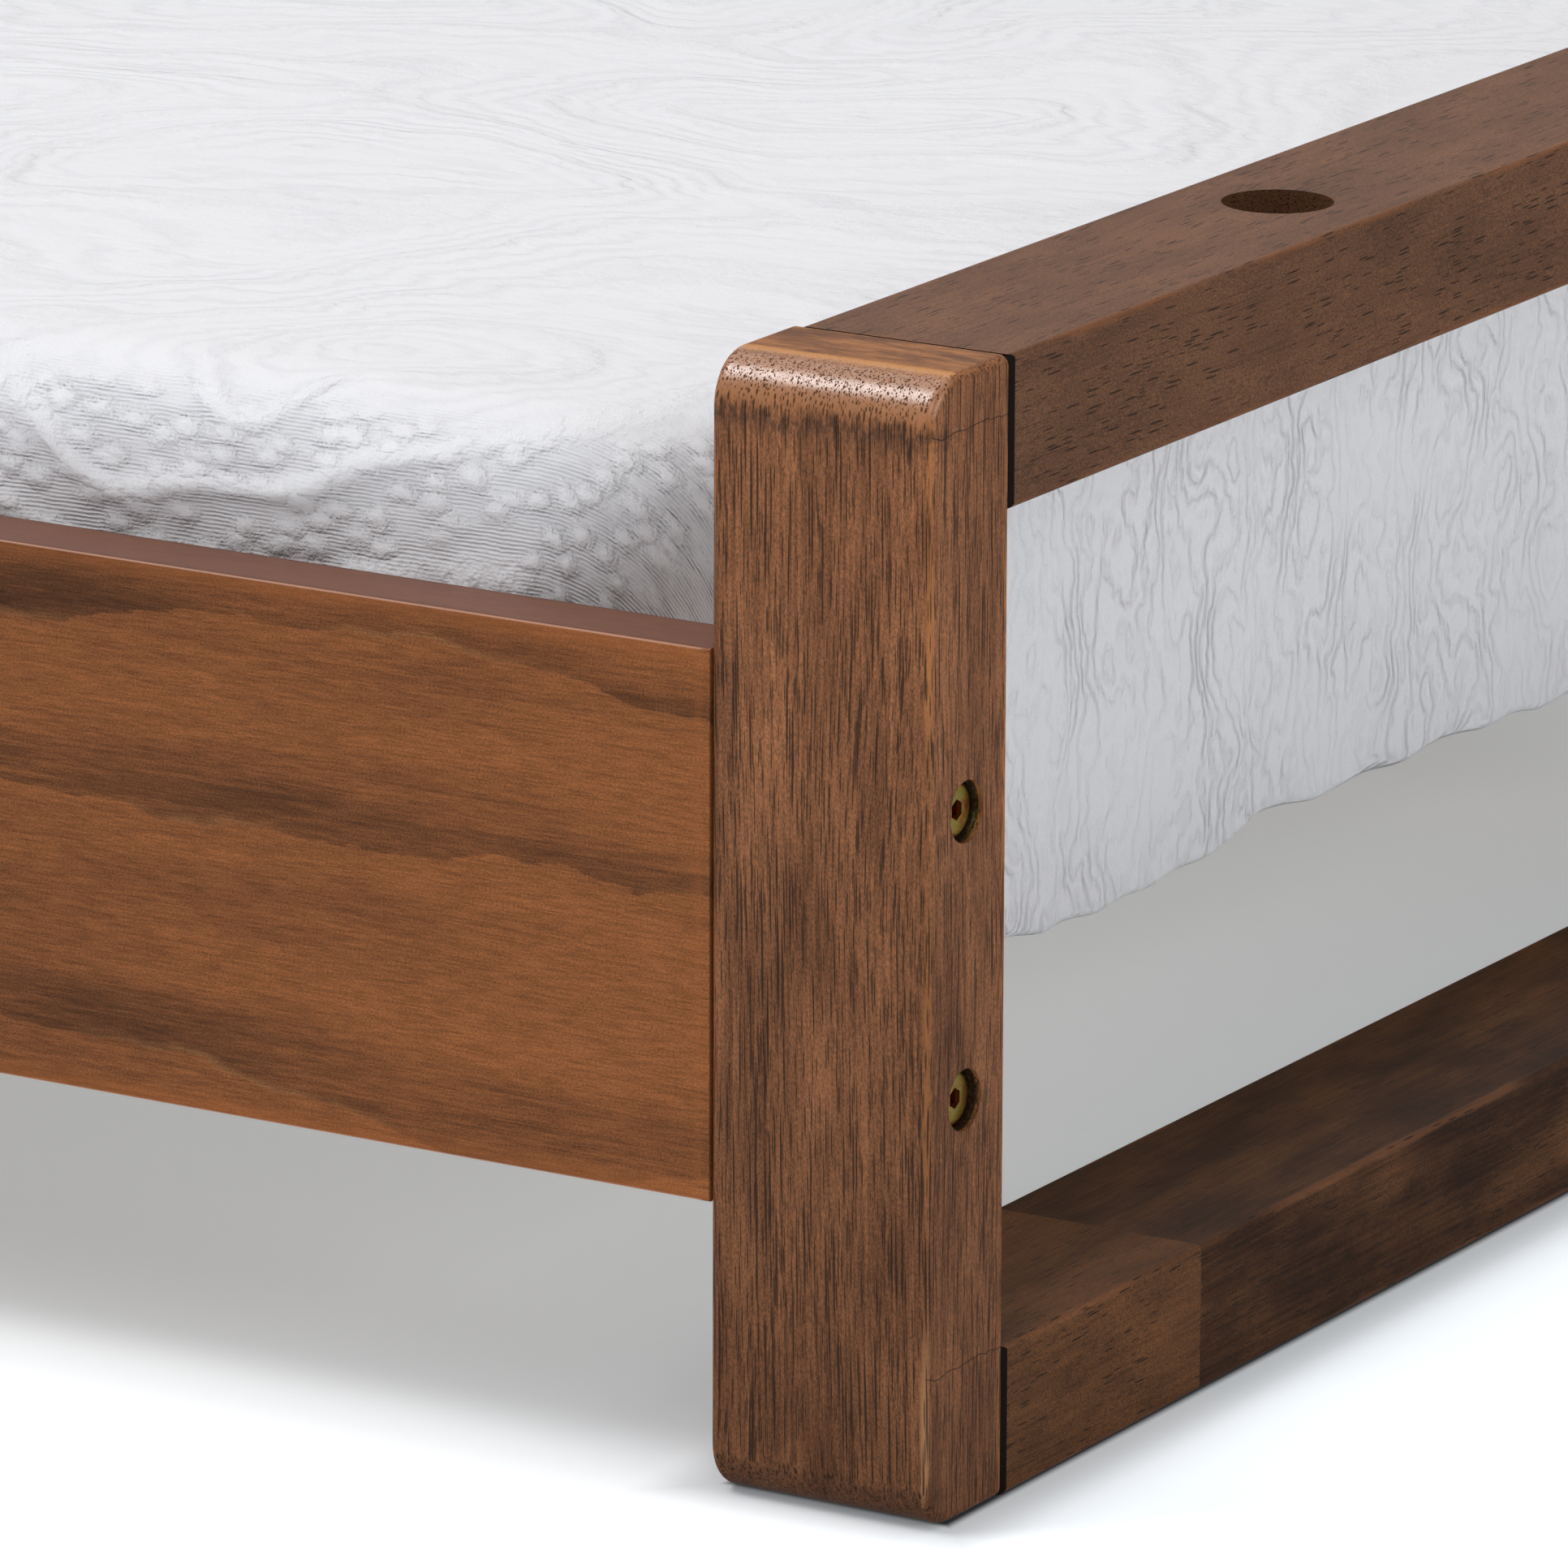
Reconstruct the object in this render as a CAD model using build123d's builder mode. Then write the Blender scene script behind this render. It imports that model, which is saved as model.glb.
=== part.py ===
from build123d import *

import os
from math import cos, radians

# Queen-size open-frame platform bed: a footboard and a headboard made as open frames of solid bars, two side
# rails bolted between them, slats on ledgers and a centre beam, and a mattress under a coverlet.
# Millimetres. The origin is on the floor in the middle of the bed, with +X across the bed, +Y towards the
# headboard and +Z up.

# Driving sizes of the whole bed
MATTRESS_W = 1524.0
MATTRESS_L = 2032.0
MATTRESS_H = 150.0
MATTRESS_SIDE_GAP = 8.0
FOOT_GAP = 21.0  # mattress to the post's inner face line at the foot
HEAD_GAP = 11.0
FOOT_H = 330.0
HEAD_H = 960.0

# Posts, whose outer corners are rounded at the top and at the floor
POST_D = 71.0
POST_T = 41.0
POST_ROUND = 15.0
POST_EASE = 3.0

# Bars that close the two end frames
BAR_H = 44.0
TOP_BAR_D = 67.0
FLOOR_BAR_D = 69.0
BAR_EASE = 1.6
BAR_GAP = 1.0
BAR_RELIEF_L = 2.8  # the cut along the outer upright edge at each end: its size along the bar
BAR_RELIEF_D = 1.4  # and into the bar

# Side rails, with the glued blocks that thicken their ends
RAIL_T = 25.0
RAIL_H = 160.0
RAIL_Z = 86.0
RAIL_EASE = 1.0
BLOCK_T = 12.0
BLOCK_L = 36.0
BLOCK_Z = 96.0
BLOCK_H = 140.0
BLOCK_CORNER = 3.0
BLOCK_EASE = 1.5

# Headboard boards
BOARD_COUNT = 3
BOARD_H = 100.0
BOARD_T = 20.0
BOARD_EASE = 2.0
BOARD_START_Z = 360.0
TENON_L = 11.0
TENON_T = 12.0
TENON_SHOULDER = 10.0
TENON_PLAY = 0.2

# Platform
LEDGER_T = 20.0
LEDGER_H = 28.0
LEDGER_Z = 100.0
LEDGER_END_GAP = 4.0
SLAT_COUNT = 13
SLAT_W = 70.0
SLAT_T = 15.0
SLAT_EASE = 2.0
SLAT_END_PLAY = 2.0
SLAT_MARGIN = 2.0  # from a ledger's end to its first slat
STRIP_EASE = 1.5  # on the long edges of the ledgers and the beam
BEAM_W = 40.0
BEAM_H = 60.0
LEG_SIDE = 40.0
LEG_EASE = 3.0
LEG_SPREAD = 763.0
GLIDE_R = 14.0
GLIDE_H = 4.0
GLIDE_EASE = 1.0
GLIDE_SPIKE_R = 1.2
GLIDE_SPIKE_L = 14.0

# Pole sockets in the footboard's top bar
SOCKET_R = 16.5
SOCKET_DEPTH = 30.0
SOCKET_FROM_SIDE = 254.0

# Connector bolts through the posts into the side rails, with their barrel nuts
BOLT_R = 4.0
BOLT_HEAD_R = 8.3
BOLT_HEAD_H = 3.6
BOLT_HEAD_ROUND = 1.7
BOLT_TIP_ROOM = 2.0
BOLT_L = 92.0
BOLT_FROM_SIDE = 20.0
BOLT_Z = (122.0, 205.0)
BOLT_SINK = 3.2
HEX_FLATS = 5.4
HEX_DEPTH = 2.8
COUNTERBORE_R = 9.0
BOLT_HOLE_R = 4.2
NUT_R = 6.0
NUT_L = 18.0
NUT_IN = 20.0
NUT_PLAY = 0.05
NUT_END_ROOM = 0.5
NUT_SLOT_W = 1.6
NUT_SLOT_D = 2.0

# Dowels of the end frames
DOWEL_R = 5.0
DOWEL_L = 56.0
DOWEL_SPREAD = 17.0
DOWEL_EASE = 1.0
DOWEL_PLAY = 0.05

# Wood screws
SCREW_R = 2.0
SCREW_HEAD_R = 4.0
SCREW_SINK_R = 4.3
SCREW_SINK = 0.2
SCREW_TIP_R = 0.4
SCREW_TIP_L = 5.0
SLAT_SCREW_L = 34.0
LEDGER_SCREW_L = 31.0
RECESS_W = 2.9
RECESS_D = 1.6
PILOT_PLAY = 0.05

# Hanger bolts between the centre legs and the beam
HANGER_R = 4.0
HANGER_L = 46.0
HANGER_EASE = 0.8

# Bedding
MATTRESS_CORNER = 60.0
MATTRESS_EDGE = 22.0
MATTRESS_REST = 0.5
COVER_T = 4.0
COVER_PLAY = 0.5
COVER_FOOT_HEM_Z = 106.0
COVER_SIDE_HEM_Z = 150.0
COVER_DROP_WRAP = 14.0  # how far the foot drop runs back around the mattress's corners

# Working allowances
HOLE_EXTRA = 1.0  # how much deeper a hole is cut than what it takes
NEAR = 0.1  # how close to a place an edge lies to count as being there

# Derived places
HALF_W = MATTRESS_W / 2 + MATTRESS_SIDE_GAP + RAIL_T
RAIL_L = MATTRESS_L + FOOT_GAP + HEAD_GAP
HALF_L = RAIL_L / 2 + POST_D
POST_X = HALF_W - POST_T
BAR_HALF_L = POST_X - BAR_GAP
RAIL_HALF_L = RAIL_L / 2
RAIL_IN_X = HALF_W - RAIL_T
SLAT_Z = LEDGER_Z + LEDGER_H
SLAT_TOP = SLAT_Z + SLAT_T
SLAT_HALF_L = RAIL_IN_X - SLAT_END_PLAY
LEDGER_HALF_L = RAIL_HALF_L - BLOCK_L - LEDGER_END_GAP
BEAM_Z = SLAT_Z - BEAM_H
LEG_H = BEAM_Z - GLIDE_H
MATTRESS_Z = SLAT_TOP + MATTRESS_REST
MATTRESS_Y = (FOOT_GAP - HEAD_GAP) / 2
BOARD_Y = HALF_L - POST_D / 2
BOLT_X = HALF_W - BOLT_FROM_SIDE
BOLT_SEAT = BOLT_SINK + BOLT_HEAD_H
SLAT_LAST_Y = LEDGER_HALF_L - SLAT_MARGIN - SLAT_W / 2
SLAT_YS = [-SLAT_LAST_Y + i * 2 * SLAT_LAST_Y / (SLAT_COUNT - 1) for i in range(SLAT_COUNT)]
SLAT_SCREW_X = RAIL_IN_X - LEDGER_T / 2
LEDGER_SCREW_YS = [(near + far) / 2 for near, far in zip(SLAT_YS[0::2], SLAT_YS[1::2])]
LEG_YS = (-LEG_SPREAD, 0.0, LEG_SPREAD)
SIDES = {"left": -1, "right": 1}
ENDS = {"foot": -1, "head": 1}

os.makedirs("parts", exist_ok=True)


def save(part, name):
    """Writes one finished piece, or a group of identical ones, as its own node."""
    part.label = name
    export_step(part, f"parts/{name}.step")


def dowel_ys(end, z):
    """Where the two dowels of a bar's joint lie along Y, for the bar whose middle is at height z."""
    depth = TOP_BAR_D if z > BAR_H else FLOOR_BAR_D
    middle = end * (HALF_L - depth / 2)
    return [middle - DOWEL_SPREAD, middle + DOWEL_SPREAD]


def board_z(index):
    """Bottom height of a headboard board. The boards and the gaps around them are evenly spaced."""
    free = HEAD_H - BAR_H - BOARD_START_Z - BOARD_COUNT * BOARD_H
    gap = free / (BOARD_COUNT + 1)
    return BOARD_START_Z + gap + index * (BOARD_H + gap)


def make_post(side, end, height):
    """A post with rounded outer corners, dowel holes, and two counterbored bolt holes along Y."""
    towards_head_y = end * HALF_L if end > 0 else -RAIL_HALF_L
    middle = (side * (HALF_W - POST_T / 2), towards_head_y, height / 2)
    section = Plane(middle, x_dir=(1, 0, 0), z_dir=(0, -1, 0))
    inner_face = Plane((side * POST_X, 0, 0), x_dir=(0, -side, 0), z_dir=(-side, 0, 0))
    outer_face = Plane((side * BOLT_X, end * HALF_L, 0), x_dir=(-end, 0, 0), z_dir=(0, end, 0))
    with BuildPart() as post:
        with BuildSketch(section):
            Rectangle(POST_T, height)
        extrude(amount=POST_D)
        along = post.edges().filter_by(Axis.Y).group_by(Axis.X)
        fillet(along[0] if side < 0 else along[-1], radius=POST_ROUND)
        rim = post.faces().filter_by(Axis.Y).edges()
        fillet(rim.filter_by(lambda edge: abs(edge.center().X) > POST_X + NEAR), radius=POST_EASE)
        with BuildSketch(inner_face):
            for z in (BAR_H / 2, height - BAR_H / 2):
                with Locations(*[(-side * y, z) for y in dowel_ys(end, z)]):
                    Circle(DOWEL_R + DOWEL_PLAY)
        extrude(amount=-DOWEL_L / 2 - HOLE_EXTRA, mode=Mode.SUBTRACT)
        with Locations(outer_face):
            with Locations(*[(0, z) for z in BOLT_Z]):
                CounterBoreHole(BOLT_HOLE_R, COUNTERBORE_R, BOLT_SEAT, depth=POST_D + HOLE_EXTRA)
        if end > 0:
            with BuildSketch(inner_face):
                with Locations(*[(-side * BOARD_Y, board_z(i) + BOARD_H / 2) for i in range(BOARD_COUNT)]):
                    Rectangle(TENON_T + 2 * TENON_PLAY, BOARD_H - 2 * TENON_SHOULDER + 2 * TENON_PLAY)
            extrude(amount=-TENON_L - HOLE_EXTRA, mode=Mode.SUBTRACT)
    return post.part


def make_bar(end, z, depth, sockets=False):
    """A bar across an end frame, flush with the posts' outer faces, bored for dowels at its ends."""
    middle = end * (HALF_L - depth / 2)
    with BuildPart() as bar:
        with BuildSketch(Plane((-BAR_HALF_L, middle, z + BAR_H / 2), x_dir=(0, 1, 0), z_dir=(1, 0, 0))):
            Rectangle(depth, BAR_H)
        extrude(amount=2 * BAR_HALF_L)
        outer = bar.faces().filter_by(Axis.Y).sort_by(Axis.Y)[0 if end < 0 else -1]
        chamfer(outer.edges().filter_by(Axis.Z), length=BAR_RELIEF_L, length2=BAR_RELIEF_D, reference=outer)
        fillet(bar.edges().filter_by(Axis.X), radius=BAR_EASE)
        for side in SIDES.values():
            end_centre = (side * BAR_HALF_L, 0, z + BAR_H / 2)
            with BuildSketch(Plane(end_centre, x_dir=(0, side, 0), z_dir=(side, 0, 0))):
                with Locations(*[(side * y, 0) for y in dowel_ys(end, z + BAR_H / 2)]):
                    Circle(DOWEL_R + DOWEL_PLAY)
            extrude(amount=-DOWEL_L / 2 - HOLE_EXTRA, mode=Mode.SUBTRACT)
        if sockets:
            socket_x = HALF_W - SOCKET_FROM_SIDE
            with Locations(*[(side * socket_x, middle, z + BAR_H) for side in SIDES.values()]):
                Hole(SOCKET_R, depth=SOCKET_DEPTH)
    return bar.part


def make_dowels(end, height):
    """The eight dowels that join an end frame's top and floor bars to its posts."""
    with BuildPart() as dowels:
        for side in SIDES.values():
            for z in (BAR_H / 2, height - BAR_H / 2):
                start = side * (POST_X - BAR_GAP / 2 - DOWEL_L / 2)
                with BuildSketch(*[Plane((start, y, z), z_dir=(side, 0, 0)) for y in dowel_ys(end, z)]):
                    Circle(DOWEL_R)
                extrude(amount=DOWEL_L)
        chamfer(dowels.edges().filter_by(GeomType.CIRCLE), length=DOWEL_EASE)
    return dowels.part


def make_board(index):
    """A headboard board with a stub tenon at each end."""
    z = board_z(index) + BOARD_H / 2
    with BuildPart() as board:
        with BuildSketch(Plane((-POST_X + TENON_PLAY, BOARD_Y, z), x_dir=(0, 1, 0), z_dir=(1, 0, 0))):
            Rectangle(BOARD_T, BOARD_H)
        extrude(amount=2 * (POST_X - TENON_PLAY))
        fillet(board.edges().filter_by(Axis.X), radius=BOARD_EASE)
        with BuildSketch(Plane((-POST_X - TENON_L, BOARD_Y, z), x_dir=(0, 1, 0), z_dir=(1, 0, 0))):
            Rectangle(TENON_T, BOARD_H - 2 * TENON_SHOULDER)
        extrude(amount=2 * (POST_X + TENON_L))
    return board.part


def make_side_rail(side):
    """A side rail, drilled from its ends for the bolts and from its inner face for nuts and screws."""
    nut_hole_depth = BOLT_X + NUT_L / 2 + NUT_END_ROOM - RAIL_IN_X
    with BuildPart() as rail:
        with BuildSketch(Plane((side * (HALF_W - RAIL_T / 2), -RAIL_HALF_L, RAIL_Z + RAIL_H / 2),
                               x_dir=(-1, 0, 0), z_dir=(0, 1, 0))):
            Rectangle(RAIL_T, RAIL_H)
        extrude(amount=2 * RAIL_HALF_L)
        fillet(rail.edges().filter_by(Axis.Y), radius=RAIL_EASE)
        for end in ENDS.values():
            with BuildSketch(*[Plane((side * BOLT_X, end * RAIL_HALF_L, z), z_dir=(0, -end, 0))
                               for z in BOLT_Z]):
                Circle(BOLT_HOLE_R)
            extrude(amount=BOLT_SEAT + BOLT_L - POST_D + BOLT_TIP_ROOM, mode=Mode.SUBTRACT)
            with BuildSketch(*[Plane((side * RAIL_IN_X, end * (RAIL_HALF_L - NUT_IN), z), z_dir=(side, 0, 0))
                               for z in BOLT_Z]):
                Circle(NUT_R + NUT_PLAY)
            extrude(amount=nut_hole_depth, mode=Mode.SUBTRACT)
        with BuildSketch(*[Plane((side * RAIL_IN_X, y, LEDGER_Z + LEDGER_H / 2), z_dir=(side, 0, 0))
                           for y in LEDGER_SCREW_YS]):
            Circle(SCREW_R + PILOT_PLAY)
        extrude(amount=LEDGER_SCREW_L - LEDGER_T + HOLE_EXTRA, mode=Mode.SUBTRACT)
    return rail.part


def make_rail_block(side, end):
    """The glued block that thickens a side rail's end, bored through for the two barrel nuts."""
    with BuildPart() as block:
        with BuildSketch(Plane((side * RAIL_IN_X, end * (RAIL_HALF_L - BLOCK_L / 2), BLOCK_Z + BLOCK_H / 2),
                               x_dir=(0, 1, 0), z_dir=(-side, 0, 0))):
            RectangleRounded(BLOCK_L, BLOCK_H, BLOCK_CORNER)
        extrude(amount=BLOCK_T)
        inner = block.faces().filter_by(Axis.X).sort_by(Axis.X)[0 if side > 0 else -1]
        chamfer(inner.edges(), length=BLOCK_EASE)
        with BuildSketch(*[Plane((side * RAIL_IN_X, end * (RAIL_HALF_L - NUT_IN), z), z_dir=(-side, 0, 0))
                           for z in BOLT_Z]):
            Circle(NUT_R + NUT_PLAY)
        extrude(amount=BLOCK_T, mode=Mode.SUBTRACT)
    return block.part


def make_bolts():
    """Eight connector bolts: flat round heads with a hexagon socket, sunk below the posts' outer faces."""
    with BuildPart() as bolts:
        for side in SIDES.values():
            for end in ENDS.values():
                for z in BOLT_Z:
                    head_y = end * (HALF_L - BOLT_SINK)
                    into = (0, -end, 0)
                    with BuildSketch(Plane((side * BOLT_X, head_y, z), z_dir=into)):
                        Circle(BOLT_HEAD_R)
                    extrude(amount=BOLT_HEAD_H)
                    with BuildSketch(Plane((side * BOLT_X, head_y, z), z_dir=into)):
                        Circle(BOLT_R)
                    extrude(amount=BOLT_HEAD_H + BOLT_L)
                    with BuildSketch(Plane((side * BOLT_X, head_y, z), x_dir=(0, 0, 1), z_dir=into)):
                        RegularPolygon(HEX_FLATS / 2 / cos(radians(30)), 6)
                    extrude(amount=HEX_DEPTH, mode=Mode.SUBTRACT)
        circles = bolts.edges().filter_by(GeomType.CIRCLE)
        rims = circles.filter_by(lambda edge: abs(edge.radius - BOLT_HEAD_R) < NEAR)
        outer_rims = rims.filter_by(lambda edge: abs(edge.center().Y) > HALF_L - BOLT_SINK - NEAR)
        fillet(outer_rims, radius=BOLT_HEAD_ROUND)
    return bolts.part


def make_barrel_nuts():
    """Eight barrel nuts across the bolts, each with a screwdriver slot in the end that faces inwards."""
    with BuildPart() as nuts:
        for side in SIDES.values():
            for end in ENDS.values():
                for z in BOLT_Z:
                    y = end * (RAIL_HALF_L - NUT_IN)
                    inner_x = side * (BOLT_X - NUT_L / 2)
                    with BuildSketch(Plane((inner_x, y, z), z_dir=(side, 0, 0))):
                        Circle(NUT_R)
                    extrude(amount=NUT_L)
                    with BuildSketch(Plane((side * BOLT_X, y - NUT_R, z), z_dir=(0, 1, 0))):
                        Circle(BOLT_R + NUT_PLAY)
                    extrude(amount=2 * NUT_R, mode=Mode.SUBTRACT)
                    with BuildSketch(Plane((inner_x, y, z), z_dir=(side, 0, 0))):
                        Rectangle(2 * (NUT_R + HOLE_EXTRA), NUT_SLOT_W)
                    extrude(amount=NUT_SLOT_D, mode=Mode.SUBTRACT)
    return nuts.part


def make_ledger(side):
    """The strip along a side rail's inner face that carries the slats' ends."""
    inner_x = RAIL_IN_X - LEDGER_T
    with BuildPart() as ledger:
        with BuildSketch(Plane((side * (RAIL_IN_X - LEDGER_T / 2), -LEDGER_HALF_L, LEDGER_Z + LEDGER_H / 2),
                               x_dir=(-1, 0, 0), z_dir=(0, 1, 0))):
            Rectangle(LEDGER_T, LEDGER_H)
        extrude(amount=2 * LEDGER_HALF_L)
        inner = ledger.faces().filter_by(Axis.X).sort_by(Axis.X)[0 if side > 0 else -1]
        chamfer(inner.edges().filter_by(Axis.Y), length=STRIP_EASE)
        with Locations(*[Plane((side * inner_x, y, LEDGER_Z + LEDGER_H / 2), z_dir=(-side, 0, 0))
                         for y in LEDGER_SCREW_YS]):
            CounterSinkHole(SCREW_R + PILOT_PLAY, SCREW_SINK_R, depth=LEDGER_T + HOLE_EXTRA)
        with Locations(*[(side * SLAT_SCREW_X, y, SLAT_Z) for y in SLAT_YS]):
            Hole(SCREW_R + PILOT_PLAY, depth=SLAT_SCREW_L - SLAT_T + HOLE_EXTRA)
    return ledger.part


def make_slat(index):
    """One slat, countersunk for a screw into each ledger and one into the centre beam."""
    with BuildPart() as slat:
        with BuildSketch(Plane((-SLAT_HALF_L, SLAT_YS[index], SLAT_Z + SLAT_T / 2), x_dir=(0, 1, 0),
                               z_dir=(1, 0, 0))):
            RectangleRounded(SLAT_W, SLAT_T, SLAT_EASE)
        extrude(amount=2 * SLAT_HALF_L)
        with Locations(Plane((0, SLAT_YS[index], SLAT_TOP))):
            with Locations((-SLAT_SCREW_X, 0), (0, 0), (SLAT_SCREW_X, 0)):
                CounterSinkHole(SCREW_R + PILOT_PLAY, SCREW_SINK_R, depth=SLAT_T + HOLE_EXTRA)
    return slat.part


def make_screw(length):
    """A countersunk wood screw with its head's face at the origin, pointing down, with a square recess."""
    with BuildPart() as screw:
        with BuildSketch(Plane.XZ):
            Polygon((0, 0), (SCREW_HEAD_R, 0), (SCREW_R, SCREW_R - SCREW_HEAD_R),
                    (SCREW_R, SCREW_TIP_L - length), (SCREW_TIP_R, -length), (0, -length), align=None)
        revolve(axis=Axis.Z)
        with BuildSketch(Plane.XY):
            Rectangle(RECESS_W, RECESS_W)
        extrude(amount=-RECESS_D, mode=Mode.SUBTRACT)
    return screw.part


def make_slat_screws():
    """Three screws in each slat, their heads just under the slats' top faces."""
    screw = make_screw(SLAT_SCREW_L)
    with BuildPart() as screws:
        for y in SLAT_YS:
            with Locations(*[(x, y, SLAT_TOP - SCREW_SINK) for x in (-SLAT_SCREW_X, 0, SLAT_SCREW_X)]):
                add(screw)
    return screws.part


def make_ledger_screws():
    """The screws that hold the ledgers to the side rails."""
    screw = make_screw(LEDGER_SCREW_L)
    with BuildPart() as screws:
        for side in SIDES.values():
            head_x = side * (RAIL_IN_X - LEDGER_T + SCREW_SINK)
            with Locations(*[Plane((head_x, y, LEDGER_Z + LEDGER_H / 2), z_dir=(-side, 0, 0))
                             for y in LEDGER_SCREW_YS]):
                add(screw)
    return screws.part


def make_beam():
    """The beam under the middle of the slats, with pilot holes and holes for the legs' hanger bolts."""
    with BuildPart() as beam:
        with BuildSketch(Plane((0, -LEDGER_HALF_L, BEAM_Z + BEAM_H / 2), x_dir=(-1, 0, 0), z_dir=(0, 1, 0))):
            Rectangle(BEAM_W, BEAM_H)
        extrude(amount=2 * LEDGER_HALF_L)
        chamfer(beam.edges().filter_by(Axis.Y), length=STRIP_EASE)
        with Locations(*[(0, y, SLAT_Z) for y in SLAT_YS]):
            Hole(SCREW_R + PILOT_PLAY, depth=SLAT_SCREW_L - SLAT_T + HOLE_EXTRA)
        for y in LEG_YS:
            with Locations(Plane((0, y, BEAM_Z), z_dir=(0, 0, -1))):
                Hole(HANGER_R + PILOT_PLAY, depth=HANGER_L / 2 + HOLE_EXTRA)
    return beam.part


def make_leg(y):
    """A square centre leg, bored at the top for its hanger bolt and at the bottom for its glide's spike."""
    with BuildPart() as leg:
        with BuildSketch(Plane((0, y, GLIDE_H))):
            Rectangle(LEG_SIDE, LEG_SIDE)
        extrude(amount=LEG_H)
        chamfer(leg.edges().filter_by(Axis.Z), length=LEG_EASE)
        with Locations((0, y, BEAM_Z)):
            Hole(HANGER_R + PILOT_PLAY, depth=HANGER_L / 2 + HOLE_EXTRA)
        with Locations(Plane((0, y, GLIDE_H), z_dir=(0, 0, -1))):
            Hole(GLIDE_SPIKE_R + PILOT_PLAY, depth=GLIDE_SPIKE_L + HOLE_EXTRA)
    return leg.part


def make_glides():
    """A round nail-on glide with its spike under each centre leg."""
    with BuildPart() as glides:
        for y in LEG_YS:
            with BuildSketch(Plane((0, y, 0))):
                Circle(GLIDE_R)
            extrude(amount=GLIDE_H)
            with BuildSketch(Plane((0, y, GLIDE_H))):
                Circle(GLIDE_SPIKE_R)
            extrude(amount=GLIDE_SPIKE_L)
        floor_rims = glides.edges().filter_by(GeomType.CIRCLE).group_by(Axis.Z)[0]
        chamfer(floor_rims, length=GLIDE_EASE)
    return glides.part


def make_hanger_bolts():
    """The double-ended bolts that hold the centre legs to the beam."""
    with BuildPart() as hangers:
        for y in LEG_YS:
            with BuildSketch(Plane((0, y, BEAM_Z - HANGER_L / 2))):
                Circle(HANGER_R)
            extrude(amount=HANGER_L)
        chamfer(hangers.edges().filter_by(GeomType.CIRCLE), length=HANGER_EASE)
    return hangers.part


def rounded_block(width, length, z0, z1, corner, edge):
    """A block with round upright corners and a rolled top edge, centred on the mattress."""
    with BuildPart() as block:
        with BuildSketch(Plane((0, MATTRESS_Y, z0))):
            RectangleRounded(width, length, corner)
        extrude(amount=z1 - z0)
        fillet(block.faces().sort_by(Axis.Z)[-1].edges(), radius=edge)
    return block.part


def make_mattress():
    """The mattress, with rolled top and bottom edges."""
    top = MATTRESS_Z + MATTRESS_H
    with BuildPart() as mattress:
        add(rounded_block(MATTRESS_W, MATTRESS_L, MATTRESS_Z, top, MATTRESS_CORNER, MATTRESS_EDGE))
        fillet(mattress.faces().sort_by(Axis.Z)[0].edges(), radius=MATTRESS_EDGE / 2)
    return mattress.part


def make_coverlet():
    """The coverlet: a shell over the mattress, longest at the foot and tucked in at the sides."""
    top = MATTRESS_Z + MATTRESS_H + COVER_PLAY
    grow_in = 2 * COVER_PLAY
    grow_out = 2 * (COVER_PLAY + COVER_T)
    inside = rounded_block(MATTRESS_W + grow_in, MATTRESS_L + grow_in, COVER_FOOT_HEM_Z - HOLE_EXTRA, top,
                           MATTRESS_CORNER + COVER_PLAY, MATTRESS_EDGE + COVER_PLAY)
    with BuildPart() as coverlet:
        add(rounded_block(MATTRESS_W + grow_out, MATTRESS_L + grow_out, COVER_FOOT_HEM_Z, top + COVER_T,
                          MATTRESS_CORNER + COVER_PLAY + COVER_T, MATTRESS_EDGE + COVER_PLAY + COVER_T))
        add(inside, mode=Mode.SUBTRACT)
        with BuildSketch(Plane((0, MATTRESS_Y + COVER_DROP_WRAP, COVER_SIDE_HEM_Z))):
            Rectangle(2 * HALF_W, MATTRESS_L)
        extrude(amount=COVER_FOOT_HEM_Z - COVER_SIDE_HEM_Z - HOLE_EXTRA, mode=Mode.SUBTRACT)
    return coverlet.part


for side_name, side in SIDES.items():
    save(make_post(side, ENDS["foot"], FOOT_H), f"foot_post_{side_name}")
    save(make_post(side, ENDS["head"], HEAD_H), f"head_post_{side_name}")
    save(make_side_rail(side), f"side_rail_{side_name}")
    save(make_ledger(side), f"ledger_{side_name}")
    for end_name, end in ENDS.items():
        save(make_rail_block(side, end), f"rail_block_{end_name}_{side_name}")

save(make_bar(ENDS["foot"], FOOT_H - BAR_H, TOP_BAR_D, sockets=True), "foot_top_bar")
save(make_bar(ENDS["foot"], 0.0, FLOOR_BAR_D), "foot_floor_bar")
save(make_bar(ENDS["head"], HEAD_H - BAR_H, TOP_BAR_D), "head_top_bar")
save(make_bar(ENDS["head"], 0.0, FLOOR_BAR_D), "head_floor_bar")
save(make_dowels(ENDS["foot"], FOOT_H), "foot_dowels")
save(make_dowels(ENDS["head"], HEAD_H), "head_dowels")
for i in range(BOARD_COUNT):
    save(make_board(i), f"head_board_{i + 1}")

save(make_bolts(), "rail_bolts")
save(make_barrel_nuts(), "barrel_nuts")

for i in range(SLAT_COUNT):
    save(make_slat(i), f"slat_{i + 1:02d}")
save(make_slat_screws(), "slat_screws")
save(make_ledger_screws(), "ledger_screws")
save(make_beam(), "center_beam")
for leg_name, leg_y in zip(("foot", "middle", "head"), LEG_YS):
    save(make_leg(leg_y), f"center_leg_{leg_name}")
save(make_glides(), "leg_glides")
save(make_hanger_bolts(), "leg_hanger_bolts")

save(make_mattress(), "mattress")
save(make_coverlet(), "coverlet")
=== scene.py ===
from math import cos, pi, radians, sin

import bpy
import numpy as np
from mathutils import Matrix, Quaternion, Vector


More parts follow.
